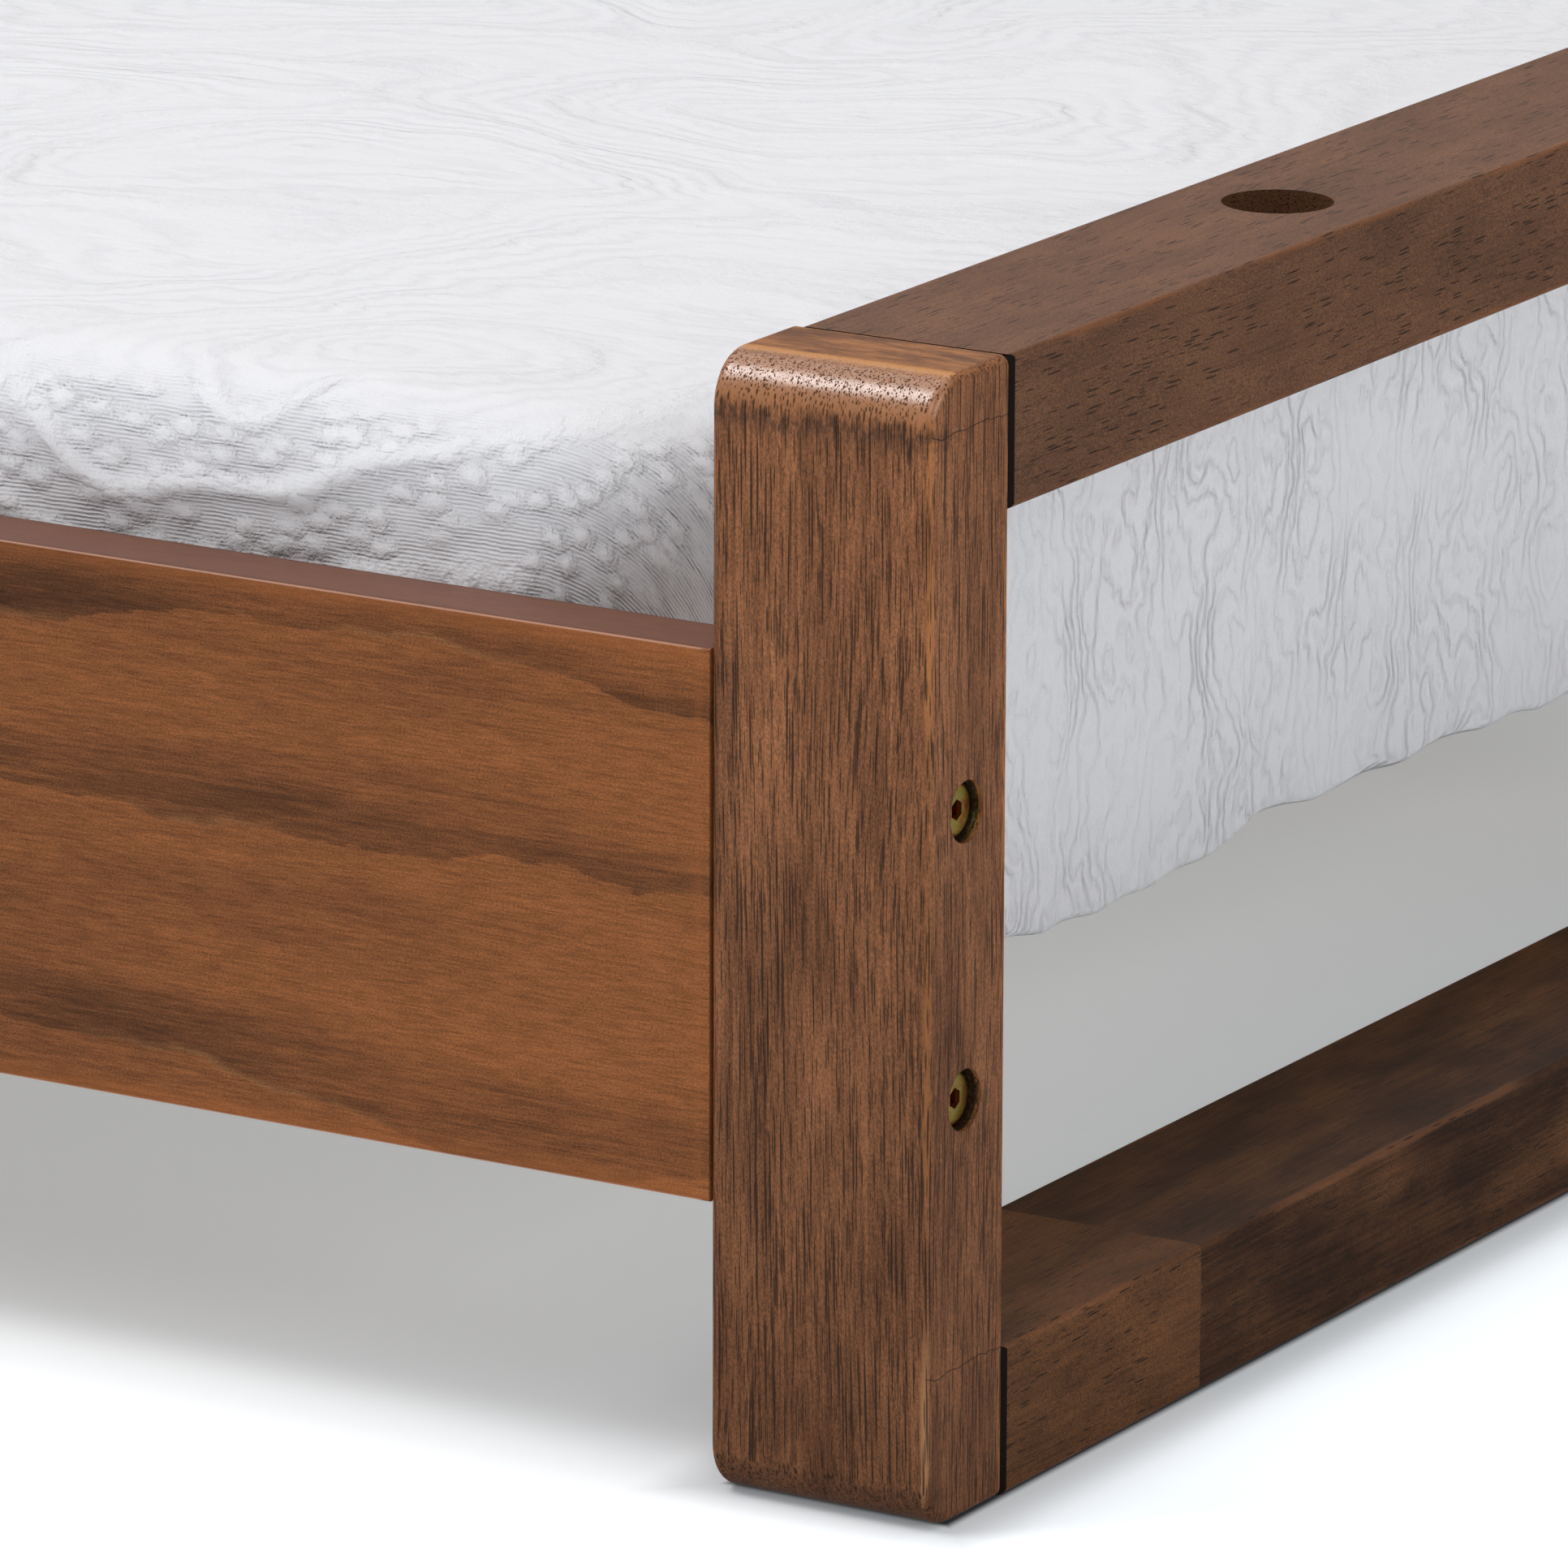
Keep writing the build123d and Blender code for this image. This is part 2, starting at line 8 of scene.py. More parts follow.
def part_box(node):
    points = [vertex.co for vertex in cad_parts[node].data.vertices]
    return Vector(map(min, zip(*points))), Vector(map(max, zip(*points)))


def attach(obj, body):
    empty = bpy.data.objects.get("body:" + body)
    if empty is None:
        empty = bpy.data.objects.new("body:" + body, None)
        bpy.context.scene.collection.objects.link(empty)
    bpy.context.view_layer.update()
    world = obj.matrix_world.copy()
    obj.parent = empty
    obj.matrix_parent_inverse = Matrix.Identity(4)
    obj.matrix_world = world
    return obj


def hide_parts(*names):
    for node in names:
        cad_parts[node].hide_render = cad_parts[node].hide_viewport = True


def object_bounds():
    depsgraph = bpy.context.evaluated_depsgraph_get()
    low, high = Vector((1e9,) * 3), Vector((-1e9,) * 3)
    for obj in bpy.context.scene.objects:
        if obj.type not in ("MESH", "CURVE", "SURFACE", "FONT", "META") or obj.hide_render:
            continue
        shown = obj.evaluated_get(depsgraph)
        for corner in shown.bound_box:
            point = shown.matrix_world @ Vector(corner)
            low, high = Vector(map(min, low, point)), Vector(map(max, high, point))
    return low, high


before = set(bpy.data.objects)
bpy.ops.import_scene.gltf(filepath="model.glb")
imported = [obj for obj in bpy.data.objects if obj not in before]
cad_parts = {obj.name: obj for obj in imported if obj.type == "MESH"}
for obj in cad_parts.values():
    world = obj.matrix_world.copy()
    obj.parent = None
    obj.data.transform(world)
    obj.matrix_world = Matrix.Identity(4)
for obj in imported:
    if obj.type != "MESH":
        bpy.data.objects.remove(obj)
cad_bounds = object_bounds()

MM = 0.001

# Camera: a long lens at the foot's left corner, placed from the corner of the left foot post
CAMERA_FROM_CORNER = Vector((-2.744, -1.615, 1.074))
CAMERA_TURN = 31.20
CAMERA_DROP = 15.06
CAMERA_ROLL = 0.17
CAMERA_LENS_MM = 276.0
CAMERA_SENSOR_MM = 36.0
CAMERA_SEES_TO = 100.0

# Light
SURROUND_NEAR = 0.20
SURROUND_FAR = 0.55
OVERHEAD_POWER = 44.0
KEY_POWER = 46.0
CORNER_POWER = 9.0
FOOT_POWER = 26.0
# The floor's glow is painted light; its lower strength under the bed is painted shade
UNDER_BED_GLOW = 0.246
OPEN_FLOOR_GLOW = 0.50
WARM_WHITE = (1.0, 0.97, 0.93)
FOOT_WHITE = (1.0, 0.965, 0.93)
FLOOR_HALF = 14.0
CONTACT_SHADOW_INSET = 12 * MM  # the floor's painted contact shadow keeps this far inside the bed's side


# ---------------------------------------------------------------------------------------- node trees

class Graph:
    """Short calls for building a material's node tree. A value may be a socket, a number or a tuple."""

    def __init__(self, tree):
        self.tree = tree
        tree.nodes.clear()

    def add(self, kind, inputs=None, **settings):
        node = self.tree.nodes.new(kind)
        for name, value in settings.items():
            setattr(node, name, value)
        for key, value in (inputs or {}).items():
            self.put(node.inputs[key], value)
        return node

    def put(self, socket, value):
        if isinstance(value, bpy.types.NodeSocket):
            self.tree.links.new(value, socket)
        else:
            socket.default_value = value

    def math(self, operation, a, b=0.0, c=0.0, clamp=False):
        node = self.add("ShaderNodeMath", {0: a, 1: b, 2: c}, operation=operation, use_clamp=clamp)
        return node.outputs[0]

    def vector(self, operation, a, b):
        return self.add("ShaderNodeVectorMath", {0: a, 1: b}, operation=operation).outputs[0]

    def dot(self, a, b):
        return self.add("ShaderNodeVectorMath", {0: a, 1: b}, operation="DOT_PRODUCT").outputs["Value"]

    def split(self, vector):
        return self.add("ShaderNodeSeparateXYZ", {0: vector}).outputs

    def join(self, x, y, z):
        return self.add("ShaderNodeCombineXYZ", {0: x, 1: y, 2: z}).outputs[0]

    def noise(self, vector, scale=1.0, detail=2.0, rough=0.5):
        inputs = {"Vector": vector, "Scale": scale, "Detail": detail, "Roughness": rough}
        return self.add("ShaderNodeTexNoise", inputs).outputs["Fac"]

    def noise_vector(self, vector, scale, detail=1.0):
        node = self.add("ShaderNodeTexNoise", {"Vector": vector, "Scale": scale, "Detail": detail})
        return self.vector("SUBTRACT", node.outputs["Color"], (0.5, 0.5, 0.5))

    def steps(self, value, low, high, to_low=0.0, to_high=1.0):
        """A smooth rise from to_low, where value is low, to to_high, where it is high."""
        inputs = {"Value": value, "From Min": low, "From Max": high, "To Min": to_low, "To Max": to_high}
        return self.add("ShaderNodeMapRange", inputs, interpolation_type="SMOOTHSTEP").outputs["Result"]

    def mix(self, factor, a, b, blend="MIX"):
        node = self.add("ShaderNodeMix", data_type="RGBA", blend_type=blend)
        for index, value in ((0, factor), (6, a), (7, b)):
            color = isinstance(value, tuple) and len(value) == 3
            self.put(node.inputs[index], value + (1.0,) if color else value)
        return node.outputs[2]

    def ramp(self, value, *stops):
        node = self.add("ShaderNodeValToRGB", {0: value})
        points = node.color_ramp.elements
        while len(points) < len(stops):
            points.new(0.5)
        for point, (place, color) in zip(points, stops):
            point.position = place
            point.color = color + (1.0,)
        return node.outputs[0]

    def bump(self, height, distance, strength=1.0, normal=None):
        inputs = {"Height": height, "Distance": distance, "Strength": strength}
        if normal is not None:
            inputs["Normal"] = normal
        return self.add("ShaderNodeBump", inputs).outputs[0]

    def object_point(self):
        return self.add("ShaderNodeTexCoord").outputs["Object"]

    def object_normal(self):
        return self.add("ShaderNodeTexCoord").outputs["Normal"]

    def surface(self, color, roughness, normal=None, **constants):
        """The Principled shader at the end of the tree. Constants are set on its own sockets."""
        shader = self.add("ShaderNodeBsdfPrincipled", {"Base Color": color, "Roughness": roughness})
        if normal is not None:
            self.put(shader.inputs["Normal"], normal)
        for name, value in constants.items():
            shader.inputs[name.replace("_", " ")].default_value = value
        self.add("ShaderNodeOutputMaterial", {"Surface": shader.outputs[0]})
        return shader


def new_material(name):
    material = bpy.data.materials.new(name)
    material.use_nodes = True
    return material, Graph(material.node_tree)


def along_grain(axis, across, along):
    """Texture scales for the three axes, per metre, with the slow one along the grain."""
    return tuple(along if letter == axis else across for letter in "XYZ")


def edge_distance(g, point, node):
    """Distance to the nearest edge of the node's box, for a point on its surface: the middle one of three."""
    low, high = (Vector(corner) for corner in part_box(node))
    middle, half = tuple((low + high) / 2), tuple((high - low) / 2)
    away = g.vector("ABSOLUTE", g.vector("SUBTRACT", point, middle), (0.0, 0.0, 0.0))
    x, y, z = g.split(g.vector("SUBTRACT", half, away))
    pairs = [g.math("MINIMUM", a, b) for a, b in ((x, y), (y, z), (x, z))]
    return g.math("MAXIMUM", g.math("MAXIMUM", pairs[0], pairs[1]), pairs[2])


# ---------------------------------------------------------------------------------------- wood

PORE_BROWN = (0.022, 0.012, 0.008)
SHADE_AND_STAIN_BLACK = (0.006, 0.004, 0.003)
SMUDGE_BROWN = (0.060, 0.030, 0.020)
SCUFF_AMBER = (0.50, 0.24, 0.11)
FOOT_SHADE_BROWN = (0.10, 0.040, 0.020)
ROUND_AMBER_AND_HIGHLIGHT = (0.40, 0.155, 0.050)
CREST_HIGHLIGHT_AMBER = (0.62, 0.27, 0.08)
HOLE_SHADE_BROWN = (0.05, 0.028, 0.016)
RAIL_GLOW = (0.34, 0.105, 0.028)
RAIL_GROOVE = (0.05, 0.022, 0.015)
TOP_CRACK_BELOW = 16 * MM
LOW_CRACK_ABOVE = 45 * MM
CREST_INSET = 14.5 * MM
WOOD_SPECULAR = 0.12


def elongated_pores(g, point, grain, half_length, half_width, gap, share):
    """Lens-shaped pores along the grain, of uneven size: 1 inside a pore, with a soft outline."""
    along = half_width / half_length / gap
    squeezed = g.vector("MULTIPLY", point, along_grain(grain, 1 / gap, along))
    node = g.add("ShaderNodeTexVoronoi", {"Vector": squeezed, "Scale": 1.0})
    size = g.math("MULTIPLY", half_width / gap, g.math("MULTIPLY_ADD", node_value(g, node), 1.3, 0.55))
    edge = g.math("DIVIDE", node.outputs["Distance"], size)
    chosen = g.math("LESS_THAN", g.split(node.outputs["Color"])[1], share)
    return g.math("MULTIPLY", g.steps(edge, 0.75, 1.25, 1.0, 0.0), chosen)


def node_value(g, voronoi):
    """A random value from 0 to 1 for each cell of a Voronoi texture."""
    return g.split(voronoi.outputs["Color"])[0]


def crack_line(g, point, height):
    """A hair crack round the piece near one height: 1 on the line."""
    z = g.split(point)[2]
    wander = g.noise(g.vector("MULTIPLY", point, (90.0, 90.0, 0.0)), detail=3.0)
    line = g.math("MULTIPLY_ADD", wander, 5 * MM, height - 2.5 * MM)
    return g.steps(g.math("ABSOLUTE", g.math("SUBTRACT", z, line)), 0.10 * MM, 0.28 * MM, 1.0, 0.0)


def post_details(g, point, node, color, figure):
    """What only the posts have: amber roundovers with painted highlight colour, scuffs, a smudge, hair
    cracks, painted shade in the bolt holes and on the foot, and painted shade darker towards the bottom.
    Gives the colour, and where the top roundover is polished.
    """
    low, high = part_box(node)
    outer_x = low[0] if low[0] < 0 else high[0]
    x, y, z = g.split(point)
    depth = g.math("SUBTRACT", high[2], z)
    ragged = g.noise(g.vector("MULTIPLY", point, (300.0, 300.0, 50.0)), detail=4.0, rough=0.65)
    below = g.math("SUBTRACT", depth, g.math("MULTIPLY", ragged, 18 * MM))
    from_outer = g.math("ABSOLUTE", g.math("SUBTRACT", x, outer_x))
    outside = g.steps(from_outer, 6.0 * MM, 14.0 * MM, 1.0, 0.0)
    smudge = g.math("MULTIPLY", g.steps(below, 4 * MM, 7 * MM), g.steps(below, 7 * MM, 15 * MM, 1.0, 0.0))
    speckle = g.noise(g.vector("MULTIPLY", point, (900.0, 900.0, 420.0)), detail=3.0)
    speckle = g.steps(speckle, 0.36, 0.60, 0.15, 0.75)
    smudge = g.math("MULTIPLY", g.math("MULTIPLY", smudge, outside), speckle)
    color = g.mix(smudge, color, SMUDGE_BROWN)
    foot_rise = g.math("SUBTRACT", z, low[2])
    along_arris = g.math("MAXIMUM", from_outer, g.math("SUBTRACT", y, low[1]))
    scuffed = g.math("MULTIPLY_ADD", ragged, -3 * MM, along_arris)
    scuffed = g.steps(scuffed, -0.6 * MM, 1.0 * MM, 1.0, 0.0)
    scuffed = g.math("MULTIPLY", scuffed, g.steps(foot_rise, 30 * MM, 75 * MM, 0.9, 0.0))
    color = g.mix(scuffed, color, SCUFF_AMBER)
    # Painted shade on the post's bottom roundover, near the floor
    painted_foot_shade = g.math("MULTIPLY", g.steps(foot_rise, 9 * MM, 14 * MM, 0.35, 0.0), outside)
    color = g.mix(painted_foot_shade, color, FOOT_SHADE_BROWN)

    facing_side = g.math("ABSOLUTE", g.split(g.object_normal())[0])
    facing_up = g.math("ABSOLUTE", g.split(g.object_normal())[2])
    rounded = g.math("MULTIPLY", g.steps(facing_up, 0.05, 0.35), g.steps(facing_side, 0.03, 0.25))
    rounded = g.math("MULTIPLY", rounded, g.steps(z, 0.1, 0.2))
    # Amber end grain on the top roundover, with painted highlight colour
    color = g.mix(g.math("MULTIPLY", rounded, 0.60), color, ROUND_AMBER_AND_HIGHLIGHT)
    inset = g.math("MULTIPLY_ADD", ragged, 2 * MM, from_outer)
    crest_highlight = g.math("ABSOLUTE", g.math("SUBTRACT", inset, CREST_INSET))
    crest_highlight = g.steps(crest_highlight, 0.8 * MM, 3.2 * MM, 0.75, 0.0)
    inward = g.math("MULTIPLY", from_outer, -3.0)
    flame = g.noise(g.vector("MULTIPLY", point, (190.0, 40.0, 190.0)), detail=4.0, rough=0.7)
    flame = g.math("ADD", flame, g.math("ADD", inward, 0.06))
    flat = g.steps(facing_up, 0.90, 0.99)
    color = g.mix(g.math("MULTIPLY", flat, 0.80), color, g.mix(g.steps(flame, 0.30, 0.68), *figure))
    # Painted highlight: an orange line where the top roundover meets the flat top
    color = g.mix(g.math("MULTIPLY", crest_highlight, g.steps(facing_up, 0.80, 0.95)), color, CREST_HIGHLIGHT_AMBER)
    # Painted shade: the post is darker towards the bottom
    shade = g.steps(z, 0.0, 0.33, 0.70, 1.04)
    color = g.mix(1.0, color, g.join(shade, shade, shade), "MULTIPLY")

    crack = g.math("MAXIMUM", crack_line(g, point, high[2] - TOP_CRACK_BELOW),
                   crack_line(g, point, low[2] + LOW_CRACK_ABOVE))
    narrow = g.steps(g.math("ABSOLUTE", g.split(g.object_normal())[1]), 0.6, 0.9)
    color = g.mix(g.math("MULTIPLY", g.math("MULTIPLY", crack, narrow), 0.75), color, PORE_BROWN)

    middle, half = (Vector(low) + Vector(high)) / 2, (Vector(high) - Vector(low)) / 2
    inside_y = g.math("SUBTRACT", half.y, g.math("ABSOLUTE", g.math("SUBTRACT", y, middle.y)))
    inside_x = g.math("SUBTRACT", half.x, g.math("ABSOLUTE", g.math("SUBTRACT", x, middle.x)))
    nearest = g.math("MINIMUM", inside_x, inside_y)
    # Painted shade inside the bolt holes: dark, mottled walls
    in_hole = g.math("MULTIPLY", g.steps(nearest, 1.1 * MM, 1.8 * MM), g.steps(depth, 18 * MM, 20 * MM))
    in_hole = g.math("MULTIPLY", in_hole, g.steps(foot_rise, 18 * MM, 20 * MM))
    hole_shade_mottle = g.noise(g.vector("MULTIPLY", point, (900.0, 900.0, 900.0)), detail=2.0)
    painted_hole_shade = g.mix(g.steps(hole_shade_mottle, 0.45, 0.7), SHADE_AND_STAIN_BLACK, HOLE_SHADE_BROWN)
    color = g.mix(g.math("MULTIPLY", in_hole, 0.93), color, painted_hole_shade)
    return color, rounded


def hardwood(node, grain, dark, light, edge, pore=(10.0, 1.0), post=False, staves=None):
    """Stained open-pored hardwood: broad tones, streaks, fine mottling, pores, and edges lighter from wear
    and painted highlight.
    pore is the pores' half length in millimetres and the share of the texture's cells that have one.
    staves, for a bar glued up from lengths, is the first joint's place, a length, and the tone's middle.
    """
    material, g = new_material(node)
    point = g.object_point()
    if staves:
        first, length, middle = staves
        run = g.split(point)["XYZ".index(grain)]
        number = g.math("FLOOR", g.math("DIVIDE", g.math("SUBTRACT", run, first), length))
        number = g.math("MAXIMUM", number, -1.0)
        tone_shift = g.math("SUBTRACT", g.math("FRACT", g.math("MULTIPLY_ADD", number, 0.62, 0.30)), middle)
        aside = g.join(0.0, g.math("MULTIPLY", number, 0.37), g.math("MULTIPLY", number, 0.21))
        point = g.vector("ADD", point, aside)
    bent = g.noise_vector(g.vector("MULTIPLY", point, along_grain(grain, 9.0, 5.0)), 1.0)
    fibre_point = g.vector("ADD", point, g.vector("MULTIPLY", bent, along_grain(grain, 0.010, 0.0)))

    broad = g.noise(g.vector("MULTIPLY", fibre_point, along_grain(grain, 55.0, 16.0)), detail=3.0)
    streaks = g.vector("MULTIPLY", fibre_point, along_grain(grain, 800.0, 22.0))
    streaks = g.noise(streaks, detail=3.0, rough=0.6)
    blotch = g.noise(g.vector("MULTIPLY", point, along_grain(grain, 42.0, 20.0)), detail=4.0, rough=0.65)
    mottle = g.vector("MULTIPLY", fibre_point, along_grain(grain, 1800.0, 900.0))
    mottle = g.noise(mottle, detail=2.0, rough=0.8)
    share_of_streaks = 0.45 if post else 0.28
    broad = g.math("MULTIPLY_ADD", broad, 0.5, g.math("MULTIPLY", blotch, 0.5))
    tone = g.math("MULTIPLY_ADD", broad, 1 - share_of_streaks, g.math("MULTIPLY", streaks, share_of_streaks))
    tone = g.math("MULTIPLY_ADD", tone_shift, 0.34, tone) if staves else tone
    spread = 0.17 if post else 0.24
    color = g.mix(g.steps(tone, 0.5 - spread, 0.5 + spread), dark, light)
    grit = g.mix(g.steps(mottle, 0.30, 0.70), (0.52, 0.57, 0.60), (1.48, 1.42, 1.30))
    color = g.mix(0.80, color, grit, "MULTIPLY")

    facing = g.math("ABSOLUTE", g.split(g.object_normal())["XYZ".index(grain)])
    from_edge = edge_distance(g, g.object_point(), node)
    waver = g.noise(g.vector("MULTIPLY", point, along_grain(grain, 220.0, 60.0)), detail=2.0)
    patches = g.noise(g.vector("MULTIPLY", point, (16.0, 16.0, 16.0)), detail=1.0)
    patches = g.steps(patches, 0.38, 0.62, 0.15, 1.0)
    # Edges lighter from wear and painted highlight
    edge_wear_and_highlight = g.math("SUBTRACT", from_edge, g.math("MULTIPLY", waver, 2.6 * MM))
    edge_wear_and_highlight = g.math("MULTIPLY", g.steps(edge_wear_and_highlight, -0.6 * MM, 1.2 * MM, 1.0, 0.0), patches)
    if post:
        color = g.mix(g.math("MULTIPLY", edge_wear_and_highlight, 0.70), color, edge)
        color, polished = post_details(g, g.object_point(), node, color, FIGURE)
    else:
        # Painted sheen: upward faces of the upper bars and boards are lighter
        up = g.steps(g.split(g.object_normal())[2], 0.90, 0.99)
        sheen = g.steps(g.split(g.object_point())[2], 0.1, 0.2, 1.0, 1.22)
        sheen = g.mix(up, (1.0, 1.0, 1.0), g.join(sheen, sheen, sheen))
        color = g.mix(1.0, color, sheen, "MULTIPLY")
        on_side = g.steps(facing, 0.10, 0.30, 0.42, 0.0)
        color = g.mix(g.math("MULTIPLY", edge_wear_and_highlight, on_side), color, edge)
        low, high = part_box(node)
        from_end = g.math("SUBTRACT", high[0], g.math("ABSOLUTE", g.split(g.object_point())[0]))
        joint = g.math("MULTIPLY", g.steps(facing, 0.15, 0.40), g.steps(from_end, 4 * MM, 5 * MM, 1.0, 0.0))
    half_length, share = pore
    pores = elongated_pores(g, fibre_point, grain, half_length * MM, 0.19 * MM, 0.9 * MM, share)
    if post:
        short = elongated_pores(g, fibre_point, grain, 3.0 * MM, 0.14 * MM, 0.60 * MM, 0.85)
        pores = g.math("MAXIMUM", pores, g.math("MULTIPLY", short, 0.90))
        on_top = g.math("ABSOLUTE", g.split(g.object_normal())[2])
        pores = g.math("MULTIPLY", pores, g.steps(on_top, 0.90, 0.99, 1.0, 0.25))
    else:
        long_lines = elongated_pores(g, fibre_point, grain, 9.0 * MM, 0.13 * MM, 0.75 * MM, 0.6)
        pores = g.math("MAXIMUM", pores, g.math("MULTIPLY", long_lines, 0.45))
    color = g.mix(g.math("MULTIPLY", pores, 0.80), color, PORE_BROWN)
    if not post:
        # Dark stain and painted shade in the gap where the bar meets the post, near-black
        color = g.mix(g.math("MULTIPLY", joint, 0.97), color, SHADE_AND_STAIN_BLACK)

    height = g.math("SUBTRACT", g.math("MULTIPLY", mottle, 0.40), pores)
    normal = g.bump(height, 0.14 * MM, 0.7)
    roughness = g.math("MULTIPLY_ADD", mottle, 0.14, 0.40)
    shader = g.surface(color, roughness, normal, Specular_IOR_Level=WOOD_SPECULAR,
                       Coat_Roughness=0.27, Coat_IOR=1.75)
    if post:
        dulled = g.math("SUBTRACT", 1.0, g.math("MULTIPLY", pores, 3.0), clamp=True)
        worn_gloss = g.noise(g.vector("MULTIPLY", point, (420.0, 420.0, 420.0)), detail=4.0, rough=0.7)
        worn_gloss = g.steps(worn_gloss, 0.30, 0.62, 0.62, 1.08)
        coat = g.math("MULTIPLY", polished, g.math("MULTIPLY", dulled, worn_gloss), clamp=True)
        g.put(shader.inputs["Coat Weight"], coat)
    return material


def flat_sawn(node, dark, light, streak, edge):
    """Stained, flat-sawn board along Y: wavy smoky growth bands, a few thin pale lines, and fine fibres."""
    material, g = new_material(node)
    point = g.object_point()
    x, y, z = g.split(point)
    slow = g.noise(g.join(0.0, g.math("MULTIPLY", y, 3.4), g.math("MULTIPLY", z, 7.0)), detail=2.0)
    quick = g.noise(g.join(3.0, g.math("MULTIPLY", y, 24.0), g.math("MULTIPLY", z, 30.0)), detail=3.0)
    flecks = g.noise(g.vector("MULTIPLY", point, (200.0, 16.0, 620.0)), detail=3.0, rough=0.7)
    wave = g.math("MULTIPLY_ADD", slow, 1.5, g.math("MULTIPLY", quick, 0.26))
    wave = g.math("MULTIPLY_ADD", flecks, 0.09, wave)
    ring = g.math("FRACT", g.math("MULTIPLY_ADD", g.math("MULTIPLY_ADD", x, 0.6, z), 16.0, wave))
    smoke = g.noise(g.vector("MULTIPLY", point, (30.0, 7.0, 60.0)), detail=4.0, rough=0.6)
    fibres = g.noise(g.vector("MULTIPLY", point, (1900.0, 110.0, 1900.0)), detail=3.0, rough=0.7)
    grain = g.noise(g.vector("MULTIPLY", point, (2200.0, 1400.0, 2200.0)), detail=1.0)
    fading = g.steps(ring, 0.02, 0.50, 0.0, 0.36)
    shade = g.math("ADD", fading, g.math("MULTIPLY_ADD", g.math("SUBTRACT", smoke, 0.5), 1.10, 0.44))
    shade = g.math("MULTIPLY_ADD", g.math("SUBTRACT", flecks, 0.5), 0.60, shade)
    shade = g.math("ADD", shade, g.steps(y, -1.05, -0.80, 0.10, -0.12))
    color = g.mix(g.steps(shade, 0.0, 1.0), dark, light)
    patchy = g.noise(g.vector("MULTIPLY", point, (30.0, 11.0, 30.0)), detail=1.0)
    pale = g.math("MULTIPLY", g.steps(ring, 0.0, 0.05, 1.0, 0.0), g.steps(patchy, 0.46, 0.66))
    color = g.mix(g.math("MULTIPLY", pale, 0.30), color, streak)
    fibre_tint = g.mix(g.steps(fibres, 0.3, 0.7), (0.74, 0.73, 0.70), (1.24, 1.23, 1.22))
    grain_tint = g.mix(g.steps(grain, 0.3, 0.7), (0.76, 0.77, 0.78), (1.24, 1.23, 1.20))
    color = g.mix(1.0, color, fibre_tint, "MULTIPLY")
    color = g.mix(1.0, color, grain_tint, "MULTIPLY")
    from_edge = edge_distance(g, point, node)
    # Painted glow: a lighter orange band on the rail's side faces near its edges
    painted_glow = g.steps(from_edge, 1.0 * MM, 7.0 * MM, 0.30, 0.0)
    low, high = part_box(node)
    from_middle = g.math("ABSOLUTE", g.math("SUBTRACT", y, (low[1] + high[1]) / 2))
    from_end = g.math("SUBTRACT", (high[1] - low[1]) / 2, from_middle)
    clear_of_end = g.steps(from_end, 1.5 * MM, 4.0 * MM)
    up = g.steps(g.math("ABSOLUTE", g.split(g.object_normal())[2]), 0.9, 0.99)
    painted_glow = g.math("MULTIPLY", g.math("SUBTRACT", 1.0, up), g.math("MULTIPLY", painted_glow, clear_of_end))
    color = g.mix(painted_glow, color, RAIL_GLOW)
    # Painted sheen: the rail's top face is tinted plum-brown
    painted_top_sheen = g.mix(g.steps(fibres, 0.3, 0.7), (0.150, 0.066, 0.046), (0.190, 0.086, 0.060))
    color = g.mix(g.math("MULTIPLY", up, 0.85), color, painted_top_sheen)
    # Painted highlight along the rail's eased arrises
    edge_wear_and_highlight = g.math("MULTIPLY", g.steps(from_edge, 0.20 * MM, 0.75 * MM, 1.0, 0.0), clear_of_end)
    beside = g.math("ABSOLUTE", g.math("SUBTRACT", from_edge, 1.3 * MM))
    beside = g.math("MULTIPLY", g.steps(beside, 0.1 * MM, 0.5 * MM, 1.0, 0.0), up)
    color = g.mix(g.math("MULTIPLY", beside, 0.45), color, RAIL_GROOVE)
    color = g.mix(g.math("MULTIPLY", edge_wear_and_highlight, 0.70), color, edge)
    normal = g.bump(fibres, 0.03 * MM, 0.7)
    roughness = g.math("MULTIPLY_ADD", fibres, 0.10, 0.40)
    g.surface(color, roughness, normal, Specular_IOR_Level=WOOD_SPECULAR)
    return material


def plain_wood(name, grain, dark, light):
    """Bare planed softwood or beech with soft growth bands."""
    material, g = new_material(name)
    point = g.object_point()
    bent = g.noise_vector(g.vector("MULTIPLY", point, along_grain(grain, 6.0, 1.5)), 1.0)
    fibre_point = g.vector("ADD", point, g.vector("MULTIPLY", bent, along_grain(grain, 0.02, 0.0)))
    bands = g.noise(g.vector("MULTIPLY", fibre_point, along_grain(grain, 160.0, 2.0)), detail=3.0)
    fibres = g.vector("MULTIPLY", fibre_point, along_grain(grain, 1400.0, 30.0))
    fibres = g.noise(fibres, detail=2.0, rough=0.7)
    color = g.mix(g.steps(bands, 0.35, 0.65), dark, light)
    color = g.mix(0.4, color, g.mix(fibres, (0.8, 0.8, 0.8), (1.15, 1.15, 1.15)), "MULTIPLY")
    normal = g.bump(fibres, 0.05 * MM, 0.6)
    g.surface(color, g.math("MULTIPLY_ADD", fibres, 0.15, 0.55), normal, Specular_IOR_Level=0.35)
    return material


# ---------------------------------------------------------------------------------------- metal and plastic

